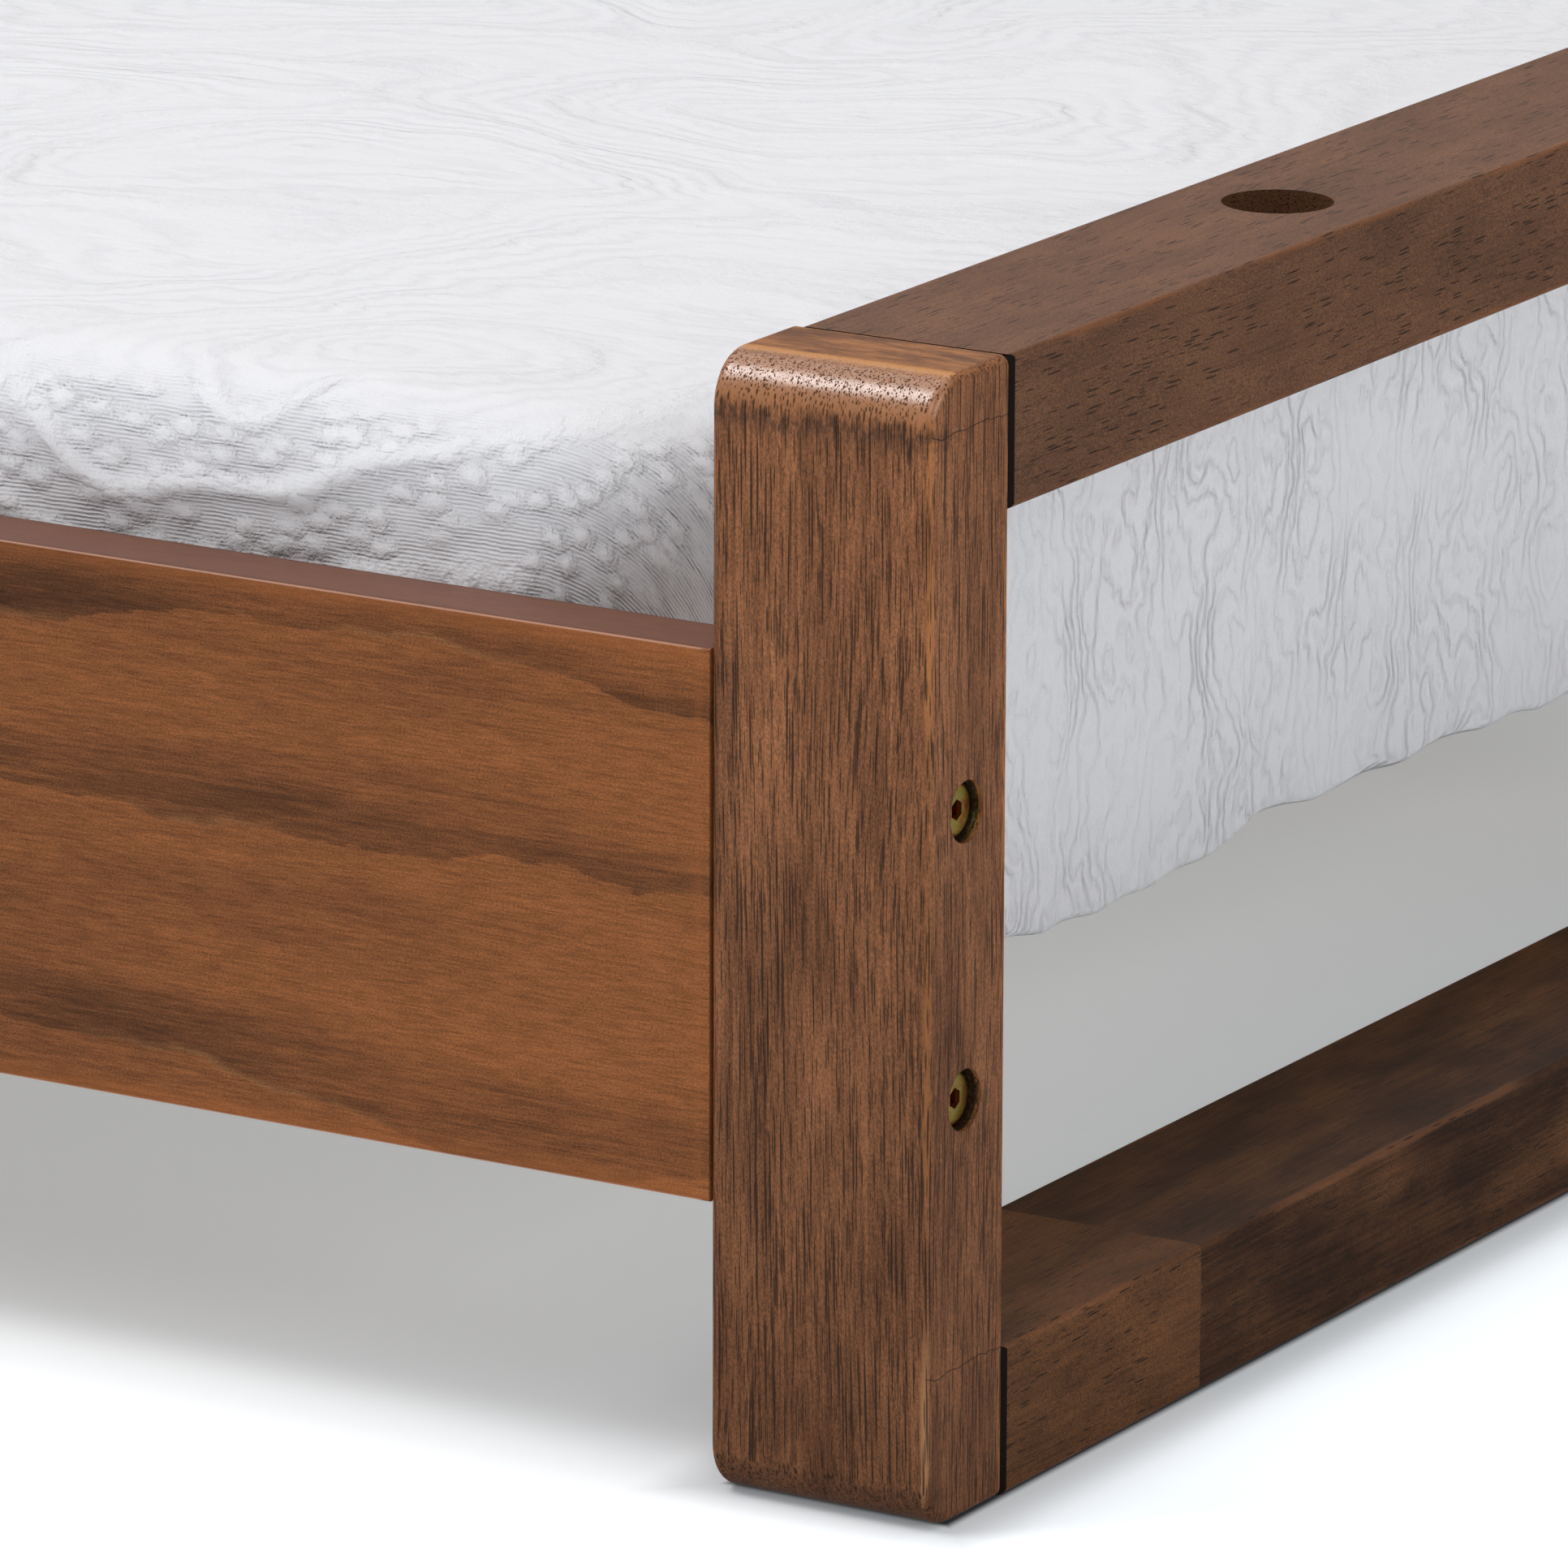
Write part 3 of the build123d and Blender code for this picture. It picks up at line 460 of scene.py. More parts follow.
def zinc(name, first, second, third, rough, node=None):
    """Zinc plating whose passivation shifts between three tints, with fine turning marks.
    Where a node is named, its bolt heads are coppery in their sockets.
    """
    material, g = new_material(name)
    point = g.object_point()
    tint = g.noise(point, 260.0, detail=2.0)
    color = g.ramp(tint, (0.32, first), (0.50, second), (0.68, third))
    marks = g.noise(point, 3200.0, detail=2.0)
    if node:
        low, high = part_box(node)
        y = g.split(point)[1]
        depth = g.math("MINIMUM", g.math("SUBTRACT", y, low[1]), g.math("SUBTRACT", high[1], y))
        color = g.mix(g.steps(depth, 0.9 * MM, 2.0 * MM), color, (0.26, 0.075, 0.028))
    g.surface(color, g.math("MULTIPLY_ADD", marks, 0.18, rough), g.bump(marks, 0.02 * MM, 0.6), Metallic=1.0)
    return material


def nylon(name):
    material, g = new_material(name)
    mottle = g.noise(g.object_point(), 900.0, detail=2.0)
    color = g.mix(mottle, (0.70, 0.69, 0.65), (0.80, 0.79, 0.75))
    g.surface(color, g.math("MULTIPLY_ADD", mottle, 0.2, 0.42), g.bump(mottle, 0.04 * MM, 0.6))
    return material


# -------------------------------------------------------------------------------- camera, light, floor

def place_camera():
    corner = Vector(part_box("foot_post_left")[0])
    turn, drop = radians(CAMERA_TURN), radians(CAMERA_DROP)
    forward = Vector((cos(drop) * cos(turn), cos(drop) * sin(turn), -sin(drop)))
    camera = bpy.data.objects.new("camera", bpy.data.cameras.new("camera"))
    bpy.context.scene.collection.objects.link(camera)
    camera.location = corner + CAMERA_FROM_CORNER
    camera.rotation_mode = "QUATERNION"
    roll = Quaternion((0, 0, 1), radians(CAMERA_ROLL))
    camera.rotation_quaternion = forward.to_track_quat("-Z", "Y") @ roll
    camera.data.lens = CAMERA_LENS_MM
    camera.data.sensor_width = CAMERA_SENSOR_MM
    camera.data.clip_end = CAMERA_SEES_TO
    bpy.context.scene.camera = camera


def add_area_light(name, place, target, size, power, color=(1.0, 1.0, 1.0)):
    light = bpy.data.lights.new(name, "AREA")
    light.shape = "RECTANGLE"
    light.size, light.size_y = size
    light.energy = power
    light.color = color
    lamp = bpy.data.objects.new(name, light)
    lamp.location = place
    lamp.rotation_mode = "QUATERNION"
    lamp.rotation_quaternion = (Vector(target) - Vector(place)).to_track_quat("-Z", "Y")
    bpy.context.scene.collection.objects.link(lamp)


def light_studio():
    """A pale surround, brightest towards the bed's far corner, and four soft boxes."""
    world = bpy.data.worlds.new("studio")
    bpy.context.scene.world = world
    world.use_nodes = True
    g = Graph(world.node_tree)
    direction = g.add("ShaderNodeTexCoord").outputs["Generated"]
    towards_back = g.dot(direction, (0.30, 0.50, 0.80))
    strength = g.steps(towards_back, -0.35, 0.85, SURROUND_NEAR, SURROUND_FAR)
    background = g.add("ShaderNodeBackground", {"Color": (0.95, 0.97, 1.0, 1.0), "Strength": strength})
    g.add("ShaderNodeOutputWorld", {"Surface": background.outputs[0]})
    add_area_light("overhead", (-0.5, 0.0, 3.4), (0.0, 0.0, 0.3), (4.0, 4.0), OVERHEAD_POWER)
    add_area_light("key", (-1.9, 0.8, 3.3), (-0.8, -0.9, 0.3), (1.3, 1.3), KEY_POWER)
    add_area_light("corner", (-3.0, -2.0, 2.6), (-0.8, -0.9, 0.2), (1.2, 1.2), CORNER_POWER, WARM_WHITE)
    add_area_light("foot", (-0.9, -4.4, 1.7), (-0.3, -1.1, 0.2), (2.2, 1.6), FOOT_POWER, FOOT_WHITE)
    bpy.context.scene.view_settings.view_transform = "Standard"


def lay_floor():
    """A pale floor whose glow is painted light, glowing less under the bed as painted shade, with a painted
    contact shadow darkest where the footboard stands.
    """
    mesh = bpy.data.meshes.new("floor")
    corners = [(x * FLOOR_HALF, y * FLOOR_HALF, 0) for x, y in ((-1, -1), (1, -1), (1, 1), (-1, 1))]
    mesh.from_pydata(corners, [], [(0, 1, 2, 3)])
    floor = bpy.data.objects.new("floor", mesh)
    bpy.context.scene.collection.objects.link(floor)
    material, g = new_material("floor")
    x, y = g.split(g.object_point())[:2]
    out_x = g.math("SUBTRACT", g.math("ABSOLUTE", x), cad_bounds[1][0])
    out_y = g.math("SUBTRACT", g.math("ABSOLUTE", y), cad_bounds[1][1])
    # Painted light: the floor glows, less under the bed as painted shade
    painted_glow = g.steps(g.math("MAXIMUM", out_x, out_y), -6 * MM, 40 * MM, UNDER_BED_GLOW, OPEN_FLOOR_GLOW)
    mottle = g.noise(g.object_point(), 1.5, detail=2.0)
    color = g.mix(mottle, (0.93, 0.94, 0.95), (0.95, 0.96, 0.97))
    bar_low, bar_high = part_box("foot_floor_bar")
    post_low, post_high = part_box("foot_post_left")
    strip_low, strip_high = min(bar_low[1], post_low[1]), max(bar_high[1], post_high[1])
    from_middle = g.math("ABSOLUTE", g.math("SUBTRACT", g.math("ABSOLUTE", y), -(strip_low + strip_high) / 2))
    from_side = g.math("ADD", out_x, CONTACT_SHADOW_INSET)
    beside = g.math("MAXIMUM", from_side, g.math("SUBTRACT", from_middle, (strip_high - strip_low) / 2))
    # Painted contact shadow: the floor darkens and glows less next to the footboard's posts and floor bar
    contact_shadow_core = g.steps(beside, -1 * MM, 3 * MM, 0.05, 0.72)
    painted_contact_shadow = g.math("MULTIPLY", contact_shadow_core, g.steps(beside, 3 * MM, 26 * MM, 1.0, 1.4))
    painted_contact_shadow = g.math("MINIMUM", painted_contact_shadow, 1.0)
    color = g.mix(1.0, color, g.join(painted_contact_shadow, painted_contact_shadow, painted_contact_shadow), "MULTIPLY")
    shader = g.surface(color, 0.8, Specular_IOR_Level=0.2, Emission_Color=(0.835, 0.93, 1.0, 1.0))
    g.put(shader.inputs["Emission Strength"], g.math("MULTIPLY", painted_glow, painted_contact_shadow))
    mesh.materials.append(material)
    floor.visible_glossy = False


# ---------------------------------------------------------------------------------------- bedding

EDGE_ROLL = 26 * MM
TOP_CORNER = 60 * MM
FINE_CELL = 3.0 * MM
COARSE_CELL = 12.0 * MM
FINE_REACH_X = 0.52
FINE_REACH_Y = 0.56
SIDE_ROW = 3.2 * MM
COVER_INSET = 2.0 * MM
RIDGE_GAP = 34 * MM
CORD_HALF_WIDTH = 5.5 * MM
RELIEF = 2.1 * MM
TOP_RELIEF_SHARE = 0.40
FOOT_STRETCH = 0.42
RIB_GAP = 1.2 * MM
LINES_PER_RIDGE = 4.0
UPRIGHT_GAP = 10 * MM
SCROLL_PITCH_S = 0.27
SCROLL_PITCH_T = 0.33
SCROLL_JITTER = 0.05
SCROLL_SOFTNESS = 16 * MM
SIDE_HEM_UP_RAIL = 66 * MM
FOOT_HEM_RISE = 5.8 * MM
FOOT_HEM_BUMPS = ((-0.442, 3.5 * MM, 0.012), (-0.605, 6.5 * MM, 0.030))  # place along X, height, width
HEM_CURL = ((0.6, 1.6), (2.0, 2.8), (4.2, 3.2), (6.4, 2.2))  # in and down from the hem, in millimetres
HEM_CURL_STEP = 1.6 * MM
PUFF_SIZE = (8.5 * MM, 13.5 * MM)


def lines(low, high, fine_until):
    """Grid lines from low to high, fine up to fine_until and coarse after it."""
    fine = np.linspace(low, fine_until, round((fine_until - low) / FINE_CELL) + 1)
    coarse = np.linspace(fine_until, high, round((high - fine_until) / COARSE_CELL) + 1)
    return np.concatenate([fine, coarse[1:]])


def round_corners(x, y, half_x, half_y, radius):
    """Maps a rectangle's grid onto the rectangle with round corners, square corner to quarter disc."""
    u = np.clip((np.abs(x) - (half_x - radius)) / radius, 0, None)
    v = np.clip((np.abs(y) - (half_y - radius)) / radius, 0, None)
    far = np.maximum(u, v)
    safe = np.where(far > 0, far, 1)
    angle = np.where(u > v, pi / 4 * v / safe, pi / 2 - pi / 4 * u / safe)
    inside = (u > 0) & (v > 0)
    new_u, new_v = np.where(inside, far * np.cos(angle), u), np.where(inside, far * np.sin(angle), v)
    new_x = np.where(u > 0, np.sign(x) * (half_x - radius + radius * new_u), x)
    new_y = np.where(v > 0, np.sign(y) * (half_y - radius + radius * new_v), y)
    return new_x, new_y


def smooth_noise(s, t, wave, seed, terms=9):
    """A smooth random field, about -1 to 1, made of plane waves near one wavelength."""
    random = np.random.default_rng(seed)
    total = np.zeros_like(s)
    for _ in range(terms):
        heading, phase = random.uniform(0, 2 * pi), random.uniform(0, 2 * pi)
        length = random.uniform(0.7, 1.5) * wave
        total += np.sin((s * np.cos(heading) + t * np.sin(heading)) * 2 * pi / length + phase)
    return total / np.sqrt(terms) * 0.8


def scroll_phase(s, t):
    """Counts the nested contour lines round teardrops that are strewn over the cloth, in turns."""
    random = np.random.default_rng(11)
    warp_s = s + 0.014 * smooth_noise(s, t, 0.16, 1) + 0.004 * smooth_noise(s, t, 0.05, 2)
    warp_t = t + 0.014 * smooth_noise(s, t, 0.16, 3) + 0.004 * smooth_noise(s, t, 0.05, 4)
    weight, sharp = np.zeros_like(s), 1 / SCROLL_SOFTNESS
    for row in range(-4, 5):
        for column in range(-4, 5):
            centre_s = (column + 0.5 * (row % 2)) * SCROLL_PITCH_S
            centre_s += random.uniform(-SCROLL_JITTER, SCROLL_JITTER)
            centre_t = row * SCROLL_PITCH_T * 0.86 + random.uniform(-SCROLL_JITTER, SCROLL_JITTER)
            heading = random.uniform(0, 2 * pi)
            stretch = random.uniform(1.5, 2.3)
            ds, dt = warp_s - centre_s, warp_t - centre_t
            long, wide = ds * cos(heading) + dt * sin(heading), -ds * sin(heading) + dt * cos(heading)
            taper = 1.0 + 0.55 * np.tanh(long / 0.08)
            curl = wide + 2.2 * long**2
            distance = np.sqrt((long / stretch) ** 2 + (curl * taper) ** 2)
            weight += np.exp(-distance * sharp)
    return -np.log(weight) / sharp / RIDGE_GAP


def cord_height(phase):
    """Height of the raised cords from 0 to 1: a soft round cord once each turn."""
    distance = np.abs(phase - np.round(phase)) * RIDGE_GAP
    return np.exp(-(distance / CORD_HALF_WIDTH) ** 2)


def mesh_piece(name, points, faces, material, body):
    mesh = bpy.data.meshes.new(name)
    mesh.from_pydata(points.tolist(), [], faces)
    mesh.polygons.foreach_set("use_smooth", np.ones(len(mesh.polygons), dtype=bool))
    mesh.materials.append(material)
    mesh.update()
    piece = bpy.data.objects.new(name, mesh)
    bpy.context.scene.collection.objects.link(piece)
    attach(piece, body)
    return piece


def vertex_attribute(piece, name, values):
    layer = piece.data.attributes.new(name, "FLOAT", "POINT")
    layer.data.foreach_set("value", values.astype(np.float32))


def point_normals(piece):
    normals = np.empty(len(piece.data.vertices) * 3)
    piece.data.vertices.foreach_get("normal", normals)
    return normals.reshape(-1, 3)


def grid_faces(columns, rows, first=0):
    """Quads of a grid whose points are numbered column by column."""
    index = first + np.arange(columns * rows).reshape(columns, rows)
    a, b, c, d = index[:-1, :-1], index[1:, :-1], index[1:, 1:], index[:-1, 1:]
    return np.stack([a, b, c, d], axis=-1).reshape(-1, 4)


def make_coverlet(material):
    """The coverlet: a grid over the mattress's top, and rows round its rim that roll over and hang down."""
    low, high = (np.array(corner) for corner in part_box("coverlet"))
    middle, half = (low + high) / 2, (high - low) / 2 - COVER_INSET
    top = high[2] - COVER_INSET
    half_x, half_y = half[0] - EDGE_ROLL, half[1] - EDGE_ROLL
    corner = TOP_CORNER - EDGE_ROLL

    # Flat top
    xs = lines(-half_x, half_x, -half_x + FINE_REACH_X)
    ys = lines(-half_y, half_y, -half_y + FINE_REACH_Y)
    square_x, square_y = (grid.ravel() for grid in np.meshgrid(xs, ys, indexing="ij"))
    flat_x, flat_y = round_corners(square_x, square_y, half_x, half_y, corner)
    columns, rows = len(xs), len(ys)
    faces = grid_faces(columns, rows)

    # Rim of the top, in order, with the outward direction at each point
    number = np.arange(columns * rows).reshape(columns, rows)
    rim = np.concatenate([number[:-1, 0], number[-1, :-1], number[:0:-1, -1], number[0, :0:-1]])
    rim_x, rim_y = flat_x[rim], flat_y[rim]
    core_x = np.clip(rim_x, -(half_x - corner), half_x - corner)
    core_y = np.clip(rim_y, -(half_y - corner), half_y - corner)
    out = np.stack([rim_x - core_x, rim_y - core_y], axis=1)
    out /= np.linalg.norm(out, axis=1)[:, None]

    # Rows that roll over the edge and hang down to the hem
    end_y = rim_y + out[:, 1] * EDGE_ROLL + middle[1]
    slat_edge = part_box("slat_01")[0][1]
    side_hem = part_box("side_rail_left")[0][2] + SIDE_HEM_UP_RAIL
    swoop = 2.0 * MM * np.cos(2 * pi * (rim_x + 0.41) / 0.34)
    for place, rise, width in FOOT_HEM_BUMPS:
        swoop += rise * np.exp(-((rim_x - place) / width) ** 2)
    scallop = 1.0 * MM * smooth_noise(rim_x, rim_y * 0, 0.12, 21)
    scallop += 1.1 * MM * smooth_noise(rim_x, rim_y * 0, 0.04, 22)
    foot_hem = low[2] + FOOT_HEM_RISE + swoop + scallop
    blend = np.clip((slat_edge - 6 * MM - end_y) / (14 * MM), 0, 1)
    blend = blend * blend * (3 - 2 * blend)
    hem = side_hem + (foot_hem - side_hem) * blend
    roll_length = EDGE_ROLL * pi / 2
    hang = top - EDGE_ROLL - hem
    row_count = round((roll_length + float(hang.max())) / SIDE_ROW)
    steps = np.arange(1, row_count + 1) / row_count
    travel = steps[:, None] * (roll_length + hang)[None, :]
    turn = np.clip(travel / EDGE_ROLL, 0, pi / 2)
    reach = EDGE_ROLL * np.sin(turn)
    drop = EDGE_ROLL * (1 - np.cos(turn)) + np.clip(travel - roll_length, 0, None)
    hem_roll = np.array(HEM_CURL) * MM
    reach = np.concatenate([reach, reach[-1] - hem_roll[:, :1]])
    drop = np.concatenate([drop, drop[-1] + hem_roll[:, 1:]])
    curl_travel = np.cumsum(np.full((len(hem_roll), 1), HEM_CURL_STEP), axis=0)
    travel = np.concatenate([travel, travel[-1] + curl_travel])

    count = len(rim)
    side_x = rim_x + out[:, 0] * reach
    side_y = rim_y + out[:, 1] * reach
    side_s = rim_x + out[:, 0] * travel
    side_t = rim_y + out[:, 1] * travel
    ring_numbers = columns * rows + np.arange(len(reach) * count).reshape(-1, count)
    rings = np.vstack([rim[None, :], ring_numbers])
    following = np.roll(rings, -1, axis=1)
    side_faces = np.stack([rings[:-1], rings[1:], following[1:], following[:-1]], axis=-1).reshape(-1, 4)

    x = np.concatenate([flat_x, side_x.ravel()])
    y = np.concatenate([flat_y, side_y.ravel()])
    z = np.concatenate([np.full(flat_x.shape, top), (top - drop).ravel()])
    s = np.concatenate([flat_x, side_s.ravel()])
    t = np.concatenate([flat_y, side_t.ravel()])
    below = np.concatenate([np.zeros(flat_x.shape), (drop / drop.max()).ravel()])
    points = np.stack([x + middle[0], y + middle[1], z], axis=1)
    piece = mesh_piece("coverlet_cloth", points, np.vstack([faces, side_faces]).tolist(), material, "bedding")

    # Relief: raised cords near the seen corner, soft puckers on the foot drop, and a little slackness
    foot_t = np.clip(-half_y - t, 0, None)
    pulled_t = t + foot_t * (1 - FOOT_STRETCH)
    phase = scroll_phase(s, pulled_t)
    on_foot = np.clip(foot_t / 0.05, 0, 1)
    thick = 0.85 + 0.30 * smooth_noise(s, t, 0.030, 31)
    slack = smooth_noise(s, t, 0.20, 32)
    fine_x = np.clip((-half_x + FINE_REACH_X + 0.03 - s) / 0.06, 0, 1)
    fine_y = np.clip((-half_y + FINE_REACH_Y + 0.03 - t) / 0.06, 0, 1)
    fine = fine_x * fine_y
    hanging = np.clip(below * 6, 0, 1)
    share = TOP_RELIEF_SHARE + (1 - TOP_RELIEF_SHARE) * hanging
    raised = cord_height(phase) * thick * (1 - 0.60 * on_foot)
    height = fine * RELIEF * share * (raised - 0.35) + 0.8 * MM * slack
    height += 0.8 * MM * smooth_noise(s, t * 0.18, 0.055, 33) * on_foot
    hem_calm = 1 - np.clip((below - 0.95) / 0.05, 0, 1) * 0.5
    shift = point_normals(piece) * (height * hem_calm)[:, None]
    hang_end = rings[-1 - len(hem_roll)]
    for ring in rings[-len(hem_roll):]:
        shift[ring] = shift[hang_end]
    moved = points + shift
    piece.data.vertices.foreach_set("co", moved.ravel())
    piece.data.update()
    vertex_attribute(piece, "phase", phase)
    at_hem = np.zeros(len(x))
    at_hem[rings[-3:].ravel()] = 1.0
    vertex_attribute(piece, "hem", at_hem)
    vertex_attribute(piece, "cloth_s", s)
    vertex_attribute(piece, "cloth_t", t)
    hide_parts("coverlet")
    width = 2 * (half_x + roll_length + float(hang.min()))


def coverlet_cloth():
    """White matelasse cotton: contour ridges, brushed cords and nap, and puffs and ribs on the sides, with
    painted shade in the hollows, creases and at the hem.
    """
    material, g = new_material("coverlet_cotton")

    def read(name):
        return g.add("ShaderNodeAttribute", attribute_name=name).outputs["Fac"]

    def stretched(per_s, per_t):
        return g.join(g.math("MULTIPLY", s, per_s), g.math("MULTIPLY", t, per_t), 0.0)

    s, t, phase, hem = (read(name) for name in ("cloth_s", "cloth_t", "phase", "hem"))
    y, z = g.split(g.object_point())[1:]
    low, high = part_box("coverlet")
    on_foot = g.steps(y, low[1] + 4 * MM, low[1] + 14 * MM, 1.0, 0.0)
    hanging = g.steps(z, high[2] - 14 * MM, high[2] - 4 * MM, 1.0, 0.0)
    on_side = g.math("MULTIPLY", hanging, g.math("SUBTRACT", 1.0, on_foot))
    flat = g.join(s, t, 0.0)
    bend = g.vector("MULTIPLY", g.noise_vector(flat, 90.0, detail=2.0), (0.005, 0.005, 0.0))
    bent = g.vector("ADD", flat, bend)

    turn = g.math("FRACT", g.math("ADD", phase, 0.5))
    from_cord = g.math("MULTIPLY", g.math("ABSOLUTE", g.math("SUBTRACT", turn, 0.5)), RIDGE_GAP)
    ragged = g.math("MULTIPLY_ADD", g.noise(flat, 190.0, detail=3.0, rough=0.6), 5 * MM, from_cord)
    cords = g.steps(ragged, 3.0 * MM, 9.5 * MM, 1.0, 0.0)
    cords = g.math("MULTIPLY", cords, g.steps(g.noise(flat, 120.0, detail=2.0), 0.30, 0.55, 0.55, 1.0))
    squeezed = g.vector("MULTIPLY", bent, (1 / PUFF_SIZE[0], 1 / PUFF_SIZE[1], 0.0))
    cells = g.add("ShaderNodeTexVoronoi", {"Vector": squeezed, "Scale": 1.0}, voronoi_dimensions="2D")
    lint = g.noise(flat, 420.0, detail=3.0, rough=0.7)
    from_puff = g.math("MULTIPLY_ADD", lint, 0.45, g.math("SUBTRACT", cells.outputs["Distance"], 0.22))
    puffs = g.steps(from_puff, 0.05, 0.62, 1.0, 0.0)
    clusters = g.steps(g.noise(flat, 14.0, detail=1.0), 0.36, 0.48)
    puffs = g.math("MULTIPLY", puffs, g.math("MULTIPLY", clusters, on_side))
    off_foot = g.math("SUBTRACT", 1.0, g.math("MULTIPLY", on_foot, 0.7))
    raised = g.math("MAXIMUM", g.math("MULTIPLY", cords, off_foot), puffs)

    wander = g.noise(stretched(62.0, 11.0), detail=2.0, rough=0.5)
    wander = g.math("MULTIPLY", wander, g.math("MULTIPLY_ADD", on_foot, 4.0, 1.6))
    wobble = g.noise(stretched(150.0, 75.0), detail=2.0)
    wander = g.math("MULTIPLY_ADD", wobble, 0.9, wander)
    nested = g.math("MULTIPLY_ADD", phase, LINES_PER_RIDGE, wander)
    drift = g.noise(stretched(34.0, 19.0), detail=4.0, rough=0.48)
    upright = g.math("MULTIPLY_ADD", drift, 10.5, g.math("MULTIPLY", s, 1 / UPRIGHT_GAP))
    count = g.math("MULTIPLY_ADD", on_foot, g.math("SUBTRACT", upright, nested), nested)
    ridge = g.math("POWER", g.math("ABSOLUTE", g.math("SINE", g.math("MULTIPLY", count, pi))), 1.1)
    share = g.steps(g.noise(flat, 16.0, detail=2.0), 0.34, 0.62, 0.35, 1.0)
    share = g.math("MULTIPLY", share, g.math("SUBTRACT", 1.0, g.math("MULTIPLY", on_side, 0.85)))
    between = g.math("MULTIPLY", g.math("MULTIPLY", on_foot, g.math("SUBTRACT", 1.0, on_foot)), 4.0)
    share = g.math("MULTIPLY", share, g.math("SUBTRACT", 1.0, between))
    painted_crease_shade = g.math("MULTIPLY", g.steps(ridge, 0.10, 0.85, 1.0, 0.0), share)

    broken = g.steps(g.noise(stretched(160.0, 45.0), detail=2.0), 0.30, 0.62, 0.15, 1.0)
    waver = g.math("MULTIPLY", g.noise(flat, 130.0, detail=2.0), 4.5)
    rib_turn = g.math("ADD", waver, g.math("MULTIPLY", s, 2 * pi / RIB_GAP))
    hollow = g.math("MULTIPLY", g.math("SUBTRACT", 1.0, raised), on_side)
    ribs = g.math("MULTIPLY", g.math("MULTIPLY", g.math("SINE", rib_turn), hollow), broken)
    nap = g.noise(stretched(1500.0, 1900.0), detail=3.0, rough=0.75)
    crinkle = g.noise(stretched(210.0, 110.0), detail=3.0, rough=0.6)

    depth = g.math("MULTIPLY_ADD", on_side, 0.25, g.math("MULTIPLY_ADD", hanging, 0.40, 0.35))
    relief = g.math("MULTIPLY_ADD", g.math("MULTIPLY", ridge, share), 0.75, g.math("MULTIPLY", raised, 0.60))
    scroll = g.bump(g.math("MULTIPLY", relief, depth), 2.2 * MM, 0.85)
    linted = g.bump(g.math("MULTIPLY", lint, raised), 0.9 * MM, 0.8, scroll)
    creased = g.bump(crinkle, 1.2 * MM, 0.60, linted)
    ribbed = g.bump(ribs, 0.16 * MM, 0.9, creased)
    napped = g.bump(nap, 0.30 * MM, 0.9, ribbed)
    # Painted shade: darker in the rib gaps, the hollows, the creases and on the foot drop, towards a lavender
    # grey
    painted_rib_shade = g.math("MULTIPLY", g.steps(ribs, 0.15, -0.85), 0.30)
    shade = g.math("ADD", painted_rib_shade, g.math("MULTIPLY", hollow, 0.16))
    shade = g.math("ADD", shade, g.math("MULTIPLY", g.steps(nap, 0.55, 0.30), 0.14))
    shade = g.math("ADD", shade, g.math("MULTIPLY", painted_crease_shade, g.math("MULTIPLY_ADD", hanging, 0.02, 0.12)))
    shade = g.math("ADD", shade, g.math("MULTIPLY", on_foot, 0.07))
    color = g.mix(shade, (0.87, 0.865, 0.885), (0.48, 0.475, 0.51))
    # Painted shade along the hem's rolled edge
    color = g.mix(g.steps(hem, 0.7, 1.0, 0.0, 0.45), color, (0.30, 0.27, 0.25))
    g.surface(color, 0.85, napped, Sheen_Weight=0.25, Sheen_Roughness=0.5, Specular_IOR_Level=0.2)
    return material


def ticking(name):
    """Mattress ticking: a plain weave with a faint woven stripe."""
    material, g = new_material(name)
    x, y, z = g.split(g.object_point())
    thread = 2 * pi / (0.9 * MM)
    weft = g.math("SINE", g.math("MULTIPLY", g.math("ADD", x, z), thread))
    warp = g.math("SINE", g.math("MULTIPLY", g.math("ADD", y, z), thread))
    stripe = g.steps(g.math("SINE", g.math("MULTIPLY", x, 2 * pi / (60 * MM))), 0.86, 0.92)
    color = g.mix(stripe, (0.80, 0.80, 0.79), (0.60, 0.62, 0.66))
    weave = g.math("MULTIPLY", weft, warp)
    g.surface(color, 0.85, g.bump(weave, 0.12 * MM, 0.6), Sheen_Weight=0.15, Sheen_Roughness=0.5)
    return material


MATTRESS_EDGE = 30 * MM
TAPE_BEAD = 2.2 * MM
ARC_POINTS = 7
WALL_POINTS = 9
WALL_SWELL = 2.2 * MM


